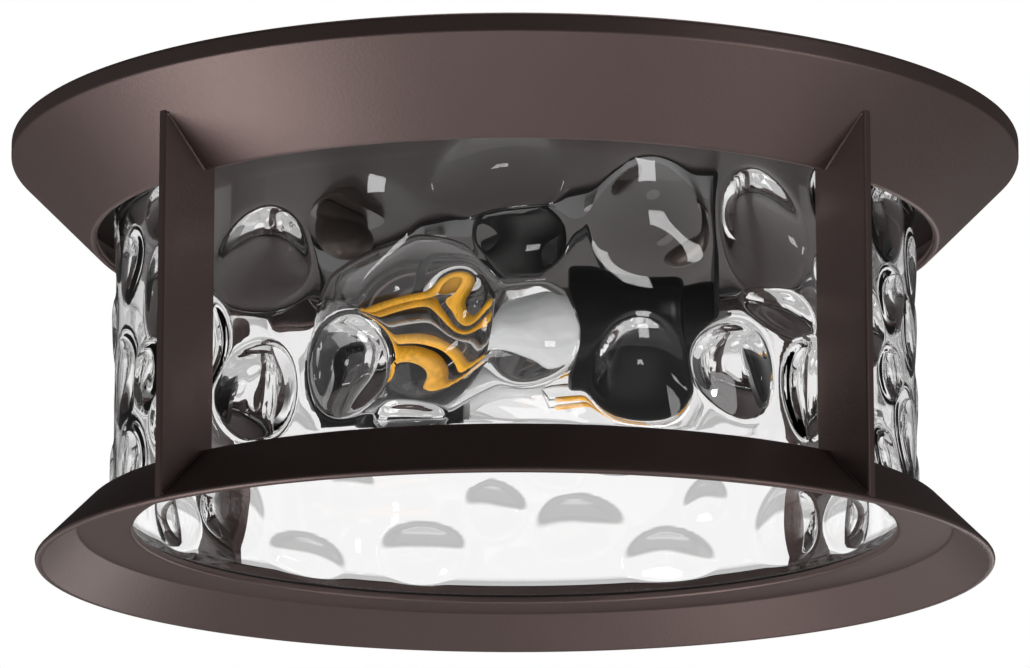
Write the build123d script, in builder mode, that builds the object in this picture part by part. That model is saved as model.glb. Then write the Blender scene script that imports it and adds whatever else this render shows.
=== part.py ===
from build123d import *
import os
from math import atan2, ceil, cos, degrees, radians, sin, sqrt, tan

# A flush ceiling light. The origin is the middle of the ceiling plane, +Z points up,
# and -Y is the front. Lengths are in millimetres, angles in degrees.

# Cage: skirt, fins and bottom ring
rim_radius = 165.0
cage_height = 140.0
band_height = 6.0
skirt_depth = 33.0
skirt_slope = 45.0
skirt_wall = 2.8
skirt_edge_round = 1.2
lip_round = 1.3
ring_height = 18.5
ring_slope = 45.0
ring_wall = 2.5
ring_edge_round = 1.0
recess_depth = 4.7
ledge_thickness = 2.5
ledge_reach = 7.8
fin_names = ("front_right", "back_right", "back_left", "front_left")
fin_start_angle = -45.0
fin_thickness = 3.2
fin_glass_gap = 1.2
fin_rim_inset = 1.5
fin_edge_round = 0.7
boss_radius = 4.5
boss_inset = 6.0
boss_length = 6.0

# Glass and its gaskets
glass_lip_inset = 6.6
glass_wall = 4.5
glass_side_gap = 1.2
glass_edge_round = 1.2
seat_gasket_thickness = 1.0
seat_gasket_width = 6.0
top_gasket_thickness = 2.0

# Canopy pan and insulation
pan_lip_rise = 11.0
pan_sheet = 1.2
pan_cone_gap = 1.04
pan_rim_gap = 1.0
pan_bend_round = 2.2
stud_hole_radius = 3.2
pad_pan_inset = 16.0
pad_bar_gap = 7.0
pad_thickness = 8.0

# Crossbar, studs and ball nuts
crossbar_end = 5.0
crossbar_width = 22.0
crossbar_thickness = 2.0
crossbar_corner_round = 4.0
crossbar_hole_radius = 5.2
box_screw_spacing = 88.9
box_slot_length = 10.0
box_slot_width = 4.8
stud_slot_gap = 4.55
stud_radius = 2.05
stud_end_gap = 1.0
lock_nut_width = 8.7
lock_nut_height = 3.2
washer_radius = 7.5
washer_thickness = 1.0
ball_nut_radius = 5.6
ball_nut_collar_radius = 4.4
ball_nut_collar_height = 1.6
ball_nut_bore_depth = 8.0
running_clearance = 0.08

# Screws
screw_radius = 2.0
screw_head_radius = 3.6
screw_head_height = 2.4
screw_slot_width = 0.9
screw_slot_depth = 0.9
screw_bite = 5.5
thread_clearance = 0.05
clearance_hole_gap = 0.3

# Lamp bracket
bracket_sheet = 1.6
bracket_tab_width = 30.0
bracket_foot_length = 26.0
bracket_web_width = 24.0
bracket_corner_round = 4.0
bracket_bend_round = 1.4
bracket_screw_offset = 34.0
bracket_wire_hole_radius = 9.5

# Sockets, measured from the mouth along the lamp's axis
lamp_drop = 70.0
lamp_offset = 42.0
socket_mouth = 17.0
socket_radius = 20.0
socket_barrel_length = 36.0
socket_base_radius = 15.0
socket_base_length = 10.0
socket_edge_round = 1.5
socket_shoulder_round = 4.0
shell_start = 1.8
shell_length = 21.0
shell_sheet = 0.5
shell_floor_hole_radius = 8.0
contact_well_depth = 4.5
contact_well_radius = 8.5
contact_plate_radius = 7.0
contact_plate_thickness = 0.6
contact_post_radius = 2.5
contact_touch_gap = 0.05
nipple_radius = 4.9
nipple_bore_radius = 3.6
nipple_length = 12.0
nipple_depth = 6.0
nipple_nut_width = 14.0
nipple_nut_height = 3.0

# Bulbs, measured from the glass tip along the lamp's axis
bulb_length = 105.0
bulb_radius = 30.0
bulb_seat = 24.0
bulb_glass = 0.8
neck_turn = 58.0
neck_radius = 12.4
neck_tuck = 3.5
cap_length = 26.0
cap_radius = 13.0
cap_root_radius = 12.25
cap_sheet = 0.4
cap_rim_length = 4.5
thread_pitch = 3.629
thread_turns = 3
cap_end_radius = 10.0
cap_end_length = 3.2
insulator_length = 3.4
insulator_plug_length = 2.0
end_contact_radius = 4.8
end_contact_length = 2.2
end_contact_round = 1.2
stem_flare_length = 14.0
stem_radius = 4.5
stem_tip_radius = 3.2
stem_length = 28.0
filament_count = 4
filament_radius = 0.9
filament_base_spread = 9.0
filament_tip_spread = 4.0
filament_tip_distance = 18.0
filament_length = 34.0
support_wire_radius = 0.3
wire_bite = 1.0
support_rod_radius = 0.6
support_disc_radius = 4.8
support_disc_thickness = 0.8
small_gap = 0.1

# Wiring
lead_radius = 1.1
lead_hole_gap = 0.15
lead_hole_depth = 3.5
lead_spread = 3.0
lead_exit_distance = 12.0
lead_rise = 14.0
lead_sag = 4.0
lead_turn_drop = 9.0
lead_slot_x = 3.0
lead_slot_y = 1.8
lead_pair_gap = 0.3
bushing_wall = 2.0
bushing_bore_radius = 5.0
bushing_flange = 1.8
bushing_flange_thickness = 1.4
bushing_lip = 0.8
bushing_lip_thickness = 1.0
connector_mouth = 21.0
connector_length = 20.0
connector_radius = 5.5
connector_tip_radius = 3.4
connector_bore_radius = 2.8
connector_bore_depth = 13.0
connector_grip = 8.0
connector_rest_gap = 0.3
ground_wire_radius = 0.8
ground_screw_radius = 2.05
ground_screw_x = 15.4
pan_ground_screw_y = -34.0
ground_head_radius = 4.0
ground_tail = 5.0
ground_step_start = -12.0
ground_step_end = -24.0

# Shares of a cord's run that its arcs take
arc_share = 0.45

# Worked-out sizes
cone_run = 1 / tan(radians(skirt_slope))
lip_radius = rim_radius - (skirt_depth - band_height) * cone_run
ring_run = 1 / tan(radians(ring_slope))
ring_top_radius = lip_radius
ring_rim_radius = ring_top_radius + ring_height * ring_run
ring_top = -cage_height + ring_height
ring_wall_across = ring_wall / sin(radians(ring_slope))
ledge_rise = ring_height - recess_depth - ledge_thickness
ledge_bottom = -cage_height + ledge_rise
ledge_top = ledge_bottom + ledge_thickness
crease_radius = ring_rim_radius - ring_wall_across - ledge_rise * ring_run
glass_radius = lip_radius - glass_lip_inset
recess_radius = glass_radius + glass_side_gap
ledge_hole_radius = glass_radius - ledge_reach
fin_inner_radius = recess_radius + fin_glass_gap
fin_outer_radius = ring_rim_radius - fin_rim_inset
pan_drop = skirt_depth - pan_lip_rise
pan_lip_radius = rim_radius - (pan_drop - band_height) * cone_run
pan_radius = pan_lip_radius - skirt_wall / sin(radians(skirt_slope)) - pan_cone_gap
boss_circle_radius = pan_radius - boss_inset
glass_bottom = ledge_top + seat_gasket_thickness
glass_top = -pan_drop - top_gasket_thickness
pan_floor = -pan_drop + pan_sheet
stud_spacing = box_screw_spacing + box_slot_length + 2 * stud_slot_gap
stud_length = pan_drop + washer_thickness + ball_nut_bore_depth - stud_end_gap
crossbar_length = stud_spacing + 2 * crossbar_end
pad_outer_radius = pan_radius - pad_pan_inset
pad_inner_radius = crossbar_length / 2 + pad_bar_gap
screw_hole_radius = screw_radius + thread_clearance
strap_bottom = -pan_drop - bracket_sheet
tab_x = socket_mouth + socket_barrel_length + socket_base_length
web_angle = degrees(atan2(-lamp_offset, tab_x + bracket_sheet - bracket_foot_length / 2))
shell_radius = cap_radius + running_clearance
shell_outer_radius = shell_radius + shell_sheet
shell_end = shell_start + shell_length
tip_x = socket_mouth + bulb_seat - bulb_length
cap_x = tip_x + bulb_length - cap_length
cap_end_x = cap_x + cap_rim_length + thread_turns * thread_pitch + cap_end_length
contact_x = tip_x + bulb_length - end_contact_length
stem_x = cap_x + neck_tuck
stem_tip_x = stem_x - stem_length
filament_tip_x = tip_x + filament_tip_distance
filament_rise = filament_base_spread - filament_tip_spread
filament_base_x = filament_tip_x + sqrt(filament_length ** 2 - filament_rise ** 2)
bushing_radius = bushing_bore_radius + bushing_wall
connector_z = pan_floor + connector_radius + connector_rest_gap

pieces = []


def keep(piece, label):
    """Label a finished piece and put it on the list of pieces to write."""
    piece.part.label = label
    pieces.append(piece)


def corner(sketch, along, up):
    """The vertex of a sketch that is nearest to a point of it."""
    return sketch.vertices().sort_by_distance((along, up))[0]


def turned_plane(angle):
    """An upright plane through the Z axis whose first axis points out at an angle."""
    outward = Vector(cos(radians(angle)), sin(radians(angle)), 0)
    return Plane(origin=(0, 0, 0), x_dir=outward, z_dir=(outward.Y, -outward.X, 0))


def ring_piece(inner, outer, low, high, round_radius=0):
    """A plain ring about the Z axis with a rectangular section."""
    with BuildPart() as ring:
        with BuildSketch(Plane.XZ) as section:
            with BuildLine():
                Polyline((inner, low), (outer, low), (outer, high), (inner, high), close=True)
            make_face()
            if round_radius:
                fillet(section.vertices(), radius=round_radius)
        revolve(axis=Axis.Z)
    return ring


def cone_height(radius):
    """Height of the skirt's outer cone at a radius."""
    return -band_height - (rim_radius - radius) / cone_run


def flare_height(radius):
    """Height of the bottom ring's outer flare at a radius."""
    return -cage_height + (ring_rim_radius - radius) / ring_run


# Upper skirt: an upright band and a cone, with a boss above each fin
with BuildPart() as upper_skirt:
    slope = radians(skirt_slope)
    lip_inner = (lip_radius - skirt_wall * sin(slope), -skirt_depth + skirt_wall * cos(slope))
    inner_bend = (rim_radius - skirt_wall, -band_height + skirt_wall * tan(slope / 2))
    with BuildSketch(Plane.XZ) as skirt_section:
        with BuildLine():
            Polyline(
                (rim_radius, 0),
                (rim_radius, -band_height),
                (lip_radius, -skirt_depth),
                lip_inner,
                inner_bend,
                (rim_radius - skirt_wall, 0),
                close=True,
            )
        make_face()
        fillet(corner(skirt_section, rim_radius, 0), radius=skirt_edge_round)
        fillet(corner(skirt_section, rim_radius, -band_height), radius=skirt_edge_round)
        fillet(corner(skirt_section, lip_radius, -skirt_depth), radius=lip_round)
        fillet(corner(skirt_section, *lip_inner), radius=lip_round)
    revolve(axis=Axis.Z)
    with BuildSketch(Plane.XY.offset(-pan_drop)):
        with PolarLocations(boss_circle_radius, len(fin_names), start_angle=fin_start_angle):
            Circle(boss_radius)
    extrude(amount=-boss_length)
    with BuildSketch(Plane.XY.offset(-pan_drop)):
        with PolarLocations(boss_circle_radius, len(fin_names), start_angle=fin_start_angle):
            Circle(screw_hole_radius)
    extrude(amount=-boss_length, mode=Mode.SUBTRACT)
keep(upper_skirt, "upper_skirt")

# Bottom ring: a flare with a ledge that carries the glass
with BuildPart() as bottom_ring:
    with BuildSketch(Plane.XZ) as ring_section:
        with BuildLine():
            Polyline(
                (recess_radius, ring_top),
                (ring_top_radius, ring_top),
                (ring_rim_radius, -cage_height),
                (ring_rim_radius - ring_wall_across, -cage_height),
                (crease_radius, ledge_bottom),
                (ledge_hole_radius, ledge_bottom),
                (ledge_hole_radius, ledge_top),
                (recess_radius, ledge_top),
                close=True,
            )
        make_face()
        fillet(corner(ring_section, recess_radius, ring_top), radius=ring_edge_round)
        fillet(corner(ring_section, ring_top_radius, ring_top), radius=ring_edge_round)
        fillet(corner(ring_section, ring_rim_radius, -cage_height), radius=ring_edge_round)
        rim_inner = ring_rim_radius - ring_wall_across
        fillet(corner(ring_section, rim_inner, -cage_height), radius=ring_edge_round / 2)
        fillet(corner(ring_section, ledge_hole_radius, ledge_bottom), radius=ring_edge_round)
    revolve(axis=Axis.Z)
keep(bottom_ring, "bottom_ring")

# Fins: upright plates from the skirt's bosses and cone down to the bottom ring
for number, name in enumerate(fin_names):
    with BuildPart() as fin:
        boss_bottom = -pan_drop - boss_length
        mid_wall = skirt_wall / 2 / cos(radians(skirt_slope))
        mid_radius = rim_radius - (-band_height - boss_bottom - mid_wall) * cone_run
        flare_bite = ring_wall / 4
        with BuildSketch(turned_plane(fin_start_angle + number * 360 / len(fin_names))):
            with BuildLine():
                Polyline(
                    (fin_inner_radius, boss_bottom),
                    (mid_radius - 2 * mid_wall * cone_run, boss_bottom),
                    (fin_outer_radius, cone_height(fin_outer_radius) + mid_wall),
                    (fin_outer_radius, flare_height(fin_outer_radius) - flare_bite),
                    (ring_top_radius, ring_top - flare_bite),
                    (fin_inner_radius, ring_top - flare_bite),
                    close=True,
                )
            make_face()
        extrude(amount=fin_thickness / 2, both=True)
        fillet(fin.edges().filter_by(Axis.Z), radius=fin_edge_round)
        add(upper_skirt.part, mode=Mode.SUBTRACT)
        add(bottom_ring.part, mode=Mode.SUBTRACT)
    keep(fin, f"fin_{name}")

# Glass cylinder between its two gaskets
glass_inner_radius = glass_radius - glass_wall
glass_cylinder = ring_piece(
    glass_inner_radius, glass_radius, glass_bottom, glass_top, glass_edge_round
)
keep(glass_cylinder, "glass_cylinder")
seat_gasket = ring_piece(glass_radius - seat_gasket_width, glass_radius, ledge_top, glass_bottom)
keep(seat_gasket, "glass_seat_gasket")
top_gasket = ring_piece(glass_inner_radius, glass_radius, glass_top, -pan_drop)
keep(top_gasket, "glass_top_gasket")

# Canopy pan: a shallow dish of sheet steel
with BuildPart() as canopy_pan:
    pan_wall_radius = pan_radius - pan_sheet
    with BuildSketch(Plane.XZ) as pan_section:
        with BuildLine():
            Polyline(
                (0, -pan_drop),
                (pan_radius, -pan_drop),
                (pan_radius, -pan_rim_gap),
                (pan_wall_radius, -pan_rim_gap),
                (pan_wall_radius, pan_floor),
                (0, pan_floor),
                close=True,
            )
        make_face()
        fillet(corner(pan_section, pan_radius, -pan_drop), radius=pan_bend_round)
        fillet(corner(pan_section, pan_wall_radius, pan_floor), radius=pan_bend_round - pan_sheet)
    revolve(axis=Axis.Z)
    with BuildSketch(Plane.XY.offset(-pan_drop)):
        Circle(bushing_radius)
        with GridLocations(stud_spacing, 0, 2, 1):
            Circle(stud_hole_radius)
        with PolarLocations(boss_circle_radius, len(fin_names), start_angle=fin_start_angle):
            Circle(screw_radius + clearance_hole_gap)
        with PolarLocations(bracket_screw_offset, 2, start_angle=web_angle):
            Circle(screw_hole_radius)
        with Locations((ground_screw_x, pan_ground_screw_y)):
            Circle(ground_screw_radius + thread_clearance)
    extrude(amount=pan_sheet, mode=Mode.SUBTRACT)
keep(canopy_pan, "canopy_pan")

pad = ring_piece(pad_inner_radius, pad_outer_radius, pan_floor, pan_floor + pad_thickness)
keep(pad, "insulation_pad")

# Mounting crossbar against the outlet box
with BuildPart() as crossbar:
    with BuildSketch() as bar_outline:
        Rectangle(crossbar_length, crossbar_width)
        fillet(bar_outline.vertices(), radius=crossbar_corner_round)
        with GridLocations(box_screw_spacing, 0, 2, 1):
            SlotOverall(box_slot_length, box_slot_width, mode=Mode.SUBTRACT)
        with GridLocations(stud_spacing, 0, 2, 1):
            Circle(stud_radius + thread_clearance, mode=Mode.SUBTRACT)
        with Locations((ground_screw_x, 0)):
            Circle(ground_screw_radius + thread_clearance, mode=Mode.SUBTRACT)
        Circle(crossbar_hole_radius, mode=Mode.SUBTRACT)
    extrude(amount=-crossbar_thickness)
keep(crossbar, "mounting_crossbar")

with BuildPart() as studs:
    with BuildSketch():
        with GridLocations(stud_spacing, 0, 2, 1):
            Circle(stud_radius)
    extrude(amount=-stud_length)
keep(studs, "mounting_studs")

with BuildPart() as lock_nuts:
    with BuildSketch(Plane.XY.offset(-crossbar_thickness)):
        with GridLocations(stud_spacing, 0, 2, 1):
            RegularPolygon(lock_nut_width / 2, 6, major_radius=False)
            Circle(stud_radius + thread_clearance, mode=Mode.SUBTRACT)
    extrude(amount=-lock_nut_height)
keep(lock_nuts, "stud_lock_nuts")

# A washer and a ball nut on each stud, under the pan
for side, name in ((-1, "left"), (1, "right")):
    stud_x = side * stud_spacing / 2
    with BuildPart() as washer:
        with BuildSketch(Plane.XY.offset(-pan_drop)):
            with Locations((stud_x, 0)):
                Circle(washer_radius)
                Circle(stud_radius + running_clearance, mode=Mode.SUBTRACT)
        extrude(amount=-washer_thickness)
    keep(washer, f"{name}_stud_washer")

    nut_top = -pan_drop - washer_thickness
    ball_z = nut_top - ball_nut_collar_height - sqrt(ball_nut_radius ** 2 - ball_nut_collar_radius ** 2)
    with BuildPart() as ball_nut:
        with BuildSketch(Plane.XZ):
            with BuildLine():
                Polyline(
                    (0, ball_z - ball_nut_radius),
                    (0, nut_top),
                    (ball_nut_collar_radius, nut_top),
                    (ball_nut_collar_radius, nut_top - ball_nut_collar_height),
                )
                ThreePointArc(
                    (ball_nut_collar_radius, nut_top - ball_nut_collar_height),
                    (ball_nut_radius, ball_z),
                    (0, ball_z - ball_nut_radius),
                )
            make_face()
        revolve(axis=Axis.Z)
        with BuildSketch(Plane.XY.offset(nut_top)):
            Circle(stud_radius + running_clearance)
        extrude(amount=-ball_nut_bore_depth, mode=Mode.SUBTRACT)
    ball_nut.part = ball_nut.part.moved(Location((stud_x, 0, 0)))
    keep(ball_nut, f"{name}_ball_nut")

# Screws through the pan into the cage's bosses, with their heads inside the pan
with BuildPart() as cage_screws:
    with PolarLocations(boss_circle_radius, len(fin_names), start_angle=fin_start_angle):
        with Locations((0, 0, pan_floor)):
            Cylinder(
                screw_head_radius, screw_head_height, align=(Align.CENTER, Align.CENTER, Align.MIN)
            )
            Cylinder(
                screw_radius, pan_sheet + screw_bite, align=(Align.CENTER, Align.CENTER, Align.MAX)
            )
        with Locations((0, 0, pan_floor + screw_head_height)):
            Box(
                2 * screw_head_radius,
                screw_slot_width,
                screw_slot_depth,
                align=(Align.CENTER, Align.CENTER, Align.MAX),
                mode=Mode.SUBTRACT,
            )
keep(cage_screws, "cage_screws")

# Lamp bracket: a strap across the pan with a tab bent down at each end
with BuildPart() as lamp_bracket:
    foot_x = tab_x + bracket_sheet - bracket_foot_length / 2
    web_length = 2 * sqrt(foot_x ** 2 + lamp_offset ** 2)
    with BuildSketch(Plane.XY.offset(-pan_drop)) as strap:
        with Locations((foot_x, -lamp_offset), (-foot_x, lamp_offset)):
            Rectangle(bracket_foot_length, bracket_tab_width)
        Rectangle(web_length, bracket_web_width, rotation=web_angle)
        with Locations((foot_x, -lamp_offset), (-foot_x, lamp_offset)):
            Circle(bracket_foot_length / 2)
        Circle(bracket_wire_hole_radius, mode=Mode.SUBTRACT)
        with PolarLocations(bracket_screw_offset, 2, start_angle=web_angle):
            Circle(screw_radius + clearance_hole_gap, mode=Mode.SUBTRACT)
    extrude(amount=-bracket_sheet)
    for side in (1, -1):
        with BuildSketch(Plane.YZ.offset(side * tab_x)):
            with Locations((-side * lamp_offset, (-pan_drop - lamp_drop) / 2)):
                Rectangle(bracket_tab_width, lamp_drop - pan_drop)
            with Locations((-side * lamp_offset, -lamp_drop)):
                Circle(bracket_tab_width / 2)
                Circle(nipple_radius + thread_clearance, mode=Mode.SUBTRACT)
        extrude(amount=side * bracket_sheet)
    for side in (1, -1):
        outer_bend = (side * (tab_x + bracket_sheet), -side * lamp_offset, -pan_drop)
        bend = lamp_bracket.edges().filter_by(Axis.Y).sort_by_distance(outer_bend)[0]
        fillet(bend, radius=bracket_bend_round)
keep(lamp_bracket, "lamp_bracket")

with BuildPart() as bracket_screws:
    with PolarLocations(bracket_screw_offset, 2, start_angle=web_angle):
        with Locations((0, 0, strap_bottom)):
            Cylinder(
                screw_head_radius, screw_head_height, align=(Align.CENTER, Align.CENTER, Align.MAX)
            )
            Cylinder(
                screw_radius,
                bracket_sheet + screw_bite,
                align=(Align.CENTER, Align.CENTER, Align.MIN),
            )
        with Locations((0, 0, strap_bottom - screw_head_height)):
            Box(
                2 * screw_head_radius,
                screw_slot_width,
                screw_slot_depth,
                align=(Align.CENTER, Align.CENTER, Align.MIN),
                mode=Mode.SUBTRACT,
            )
keep(bracket_screws, "bracket_screws")

# Bushing in the pan's wire hole
with BuildPart() as bushing:
    flange_radius = bushing_radius + bushing_flange
    lip_edge_radius = bushing_radius + bushing_lip
    with BuildSketch(Plane.XZ):
        with BuildLine():
            Polyline(
                (bushing_bore_radius, -pan_drop - bushing_flange_thickness),
                (flange_radius, -pan_drop - bushing_flange_thickness),
                (flange_radius, -pan_drop),
                (bushing_radius, -pan_drop),
                (bushing_radius, pan_floor),
                (lip_edge_radius, pan_floor),
                (lip_edge_radius, pan_floor + bushing_lip_thickness),
                (bushing_bore_radius, pan_floor + bushing_lip_thickness),
                close=True,
            )
        make_face()
    revolve(axis=Axis.Z)
keep(bushing, "wire_bushing")


# The two lamps lie along X, on either side of the middle, and point opposite ways.
# Each is drawn on a plane whose first axis runs from the bulb's tip to the socket.
for side, name in ((1, "front"), (-1, "back")):
    lamp_origin = Vector(0, -side * lamp_offset, -lamp_drop)
    along = Vector(side, 0, 0)
    lamp_plane = Plane(origin=lamp_origin, x_dir=along, z_dir=(0, -side, 0))
    lamp_axis = Axis(lamp_origin, along)
    barrel_end = socket_mouth + socket_barrel_length
    well_floor = socket_mouth + shell_end + contact_well_depth
    lead_exits = [
        lamp_origin + along * (socket_mouth + lead_exit_distance) + Vector(0, turn * lead_spread, 0)
        for turn in (1, -1)
    ]

    with BuildPart() as socket_body:
        with BuildSketch(lamp_plane) as socket_section:
            with BuildLine():
                Polyline(
                    (socket_mouth, shell_outer_radius),
                    (socket_mouth, socket_radius),
                    (barrel_end, socket_radius),
                    (barrel_end, socket_base_radius),
                    (tab_x, socket_base_radius),
                    (tab_x, nipple_radius + thread_clearance),
                    (tab_x - nipple_depth, nipple_radius + thread_clearance),
                    (tab_x - nipple_depth, 0),
                    (well_floor, 0),
                    (well_floor, contact_well_radius),
                    (socket_mouth + shell_end, contact_well_radius),
                    (socket_mouth + shell_end, shell_outer_radius),
                    close=True,
                )
            make_face()
            fillet(corner(socket_section, socket_mouth, socket_radius), radius=socket_edge_round)
            fillet(corner(socket_section, barrel_end, socket_radius), radius=socket_shoulder_round)
        revolve(axis=lamp_axis)
        for lead_exit in lead_exits:
            hole_floor = lead_exit.Z + socket_radius - lead_hole_depth
            with BuildSketch(Plane((lead_exit.X, lead_exit.Y, hole_floor))):
                Circle(lead_radius + lead_hole_gap)
            extrude(amount=socket_radius, mode=Mode.SUBTRACT)
    keep(socket_body, f"{name}_socket_body")

    with BuildPart() as screw_shell:
        with BuildSketch(lamp_plane):
            with BuildLine():
                Polyline(
                    (socket_mouth + shell_start, shell_radius),
                    (socket_mouth + shell_start, shell_outer_radius),
                    (socket_mouth + shell_end, shell_outer_radius),
                    (socket_mouth + shell_end, shell_floor_hole_radius),
                    (socket_mouth + shell_end - shell_sheet, shell_floor_hole_radius),
                    (socket_mouth + shell_end - shell_sheet, shell_radius),
                    close=True,
                )
            make_face()
        revolve(axis=lamp_axis)
    keep(screw_shell, f"{name}_socket_screw_shell")

    with BuildPart() as socket_contact:
        touch_x = socket_mouth + bulb_seat + contact_touch_gap
        with BuildSketch(lamp_plane):
            with BuildLine():
                Polyline(
                    (touch_x, 0),
                    (touch_x, contact_post_radius),
                    (well_floor - contact_plate_thickness, contact_post_radius),
                    (well_floor - contact_plate_thickness, contact_plate_radius),
                    (well_floor, contact_plate_radius),
                    (well_floor, 0),
                    close=True,
                )
            make_face()
        revolve(axis=lamp_axis)
    keep(socket_contact, f"{name}_socket_contact")

    nipple_start = tab_x - nipple_depth
    with BuildPart() as nipple:
        with BuildSketch(Plane(lamp_origin + along * nipple_start, z_dir=along)):
            Circle(nipple_radius)
            Circle(nipple_bore_radius, mode=Mode.SUBTRACT)
        extrude(amount=nipple_length)
    keep(nipple, f"{name}_socket_nipple")

    with BuildPart() as nipple_nut:
        with BuildSketch(Plane(lamp_origin + along * (tab_x + bracket_sheet), z_dir=along)):
            RegularPolygon(nipple_nut_width / 2, 6, major_radius=False)
            Circle(nipple_radius + thread_clearance, mode=Mode.SUBTRACT)
        extrude(amount=nipple_nut_height)
    keep(nipple_nut, f"{name}_socket_nut")

    with BuildPart() as bulb_glass_shell:
        with BuildSketch(lamp_plane):
            for wall, mode in ((0, Mode.ADD), (bulb_glass, Mode.SUBTRACT)):
                turn = radians(neck_turn)
                ball_x = tip_x + bulb_radius
                ball_radius = bulb_radius - wall
                neck_start = (ball_x + ball_radius * cos(turn), ball_radius * sin(turn))
                neck_end = (cap_x, neck_radius - wall)
                with BuildLine():
                    ThreePointArc((ball_x - ball_radius, 0), (ball_x, ball_radius), neck_start)
                    TangentArc(neck_start, neck_end, tangent=(sin(turn), -cos(turn)))
                    Polyline(
                        neck_end,
                        (stem_x, neck_radius - wall),
                        (stem_x, 0),
                        (ball_x - ball_radius, 0),
                    )
                make_face(mode=mode)
        revolve(axis=lamp_axis)
    keep(bulb_glass_shell, f"{name}_bulb_glass")

    with BuildPart() as bulb_cap:
        sleeve_radius = neck_radius + small_gap
        thread_start = cap_x + cap_rim_length
        thread_end = thread_start + thread_turns * thread_pitch
        ridges = []
        for turn in range(thread_turns):
            ridge_x = thread_start + turn * thread_pitch
            ridges.append((ridge_x, cap_root_radius))
            ridges.append((ridge_x + thread_pitch / 2, cap_radius))
        bore_radius = cap_root_radius - cap_sheet
        with BuildSketch(lamp_plane):
            with BuildLine():
                Polyline(
                    (cap_x, sleeve_radius),
                    (cap_x, cap_radius),
                    (thread_start - (cap_radius - cap_root_radius), cap_radius),
                    *ridges,
                    (thread_end, cap_root_radius),
                    (cap_end_x, cap_end_radius),
                    (cap_end_x, cap_end_radius - cap_sheet),
                    (thread_end, bore_radius),
                    (stem_x + small_gap, bore_radius),
                    (stem_x + small_gap, sleeve_radius),
                    close=True,
                )
            make_face()
        revolve(axis=lamp_axis)
    keep(bulb_cap, f"{name}_bulb_cap")

    with BuildPart() as insulator:
        plug_radius = cap_end_radius - cap_sheet - small_gap
        with BuildSketch(lamp_plane):
            with BuildLine():
                Polyline(
                    (cap_end_x - insulator_plug_length, 0),
                    (cap_end_x - insulator_plug_length, plug_radius),
                    (cap_end_x, plug_radius),
                    (contact_x, end_contact_radius + small_gap),
                    (contact_x, 0),
                    close=True,
                )
            make_face()
        revolve(axis=lamp_axis)
    keep(insulator, f"{name}_bulb_insulator")

    with BuildPart() as end_contact:
        with BuildSketch(lamp_plane) as contact_section:
            with BuildLine():
                Polyline(
                    (contact_x, 0),
                    (contact_x, end_contact_radius),
                    (contact_x + end_contact_length, end_contact_radius),
                    (contact_x + end_contact_length, 0),
                    close=True,
                )
            make_face()
            far_corner = corner(contact_section, contact_x + end_contact_length, end_contact_radius)
            fillet(far_corner, radius=end_contact_round)
        revolve(axis=lamp_axis)
    keep(end_contact, f"{name}_bulb_end_contact")

    with BuildPart() as stem:
        flare_radius = neck_radius - bulb_glass - small_gap
        flare_start = stem_x - bulb_glass
        with BuildSketch(lamp_plane):
            with BuildLine():
                Polyline((stem_tip_x, 0), (stem_x, 0), (stem_x, flare_radius), (flare_start, flare_radius))
                TangentArc(
                    (flare_start, flare_radius),
                    (stem_x - stem_flare_length, stem_radius),
                    tangent=(0, -1),
                )
                Polyline(
                    (stem_x - stem_flare_length, stem_radius),
                    (stem_tip_x, stem_tip_radius),
                    (stem_tip_x, 0),
                )
            make_face()
        revolve(axis=lamp_axis)
    keep(stem, f"{name}_bulb_stem")

    spokes = [
        Vector(0, cos(radians(angle)), sin(radians(angle)))
        for angle in (45 + number * 360 / filament_count for number in range(filament_count))
    ]
    with BuildPart() as filaments:
        for spoke in spokes:
            base = lamp_origin + along * filament_base_x + spoke * filament_base_spread
            tip = lamp_origin + along * filament_tip_x + spoke * filament_tip_spread
            with BuildSketch(Plane(base, z_dir=tip - base)):
                Circle(filament_radius)
            extrude(amount=filament_length)
    keep(filaments, f"{name}_bulb_filaments")

    with BuildPart() as supports:
        disc_x = filament_tip_x - filament_radius - support_disc_thickness
        with BuildSketch(Plane(lamp_origin + along * disc_x, z_dir=along)):
            Circle(support_disc_radius)
        extrude(amount=support_disc_thickness)
        with BuildSketch(Plane(lamp_origin + along * disc_x, z_dir=along)):
            Circle(support_rod_radius)
        extrude(amount=stem_tip_x - disc_x)
        for spoke in spokes:
            wire_root = lamp_origin + along * (stem_tip_x + wire_bite) + spoke * stem_tip_radius / 2
            wire_x = filament_base_x + filament_radius
            wire_tip = lamp_origin + along * wire_x + spoke * filament_base_spread
            with BuildSketch(Plane(wire_root, z_dir=wire_tip - wire_root)):
                Circle(support_wire_radius)
            extrude(amount=(wire_tip - wire_root).length)
        add(stem.part, mode=Mode.SUBTRACT)
    keep(supports, f"{name}_bulb_supports")


def route_radii(points):
    """Radii that give each corner of a route the largest arc its two runs allow."""
    radii = []
    for before, here, after in zip(points, points[1:], points[2:]):
        run_in = here - before
        run_out = after - here
        half_turn = radians(run_in.get_angle(run_out) / 2)
        radii.append(arc_share * min(run_in.length, run_out.length) / tan(half_turn))
    return radii


def wire(points, radius, label):
    """A round wire along straight runs joined by tangent arcs."""
    radii = route_radii(points)
    print(label, "bend radii", [round(bend, 1) for bend in radii])
    with BuildPart() as piece:
        with BuildLine() as route:
            FilletPolyline(*points, radius=radii)
        with BuildSketch(Plane(points[0], z_dir=points[1] - points[0])):
            Circle(radius)
        sweep(path=route.wires()[0])
    keep(piece, label)


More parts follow.
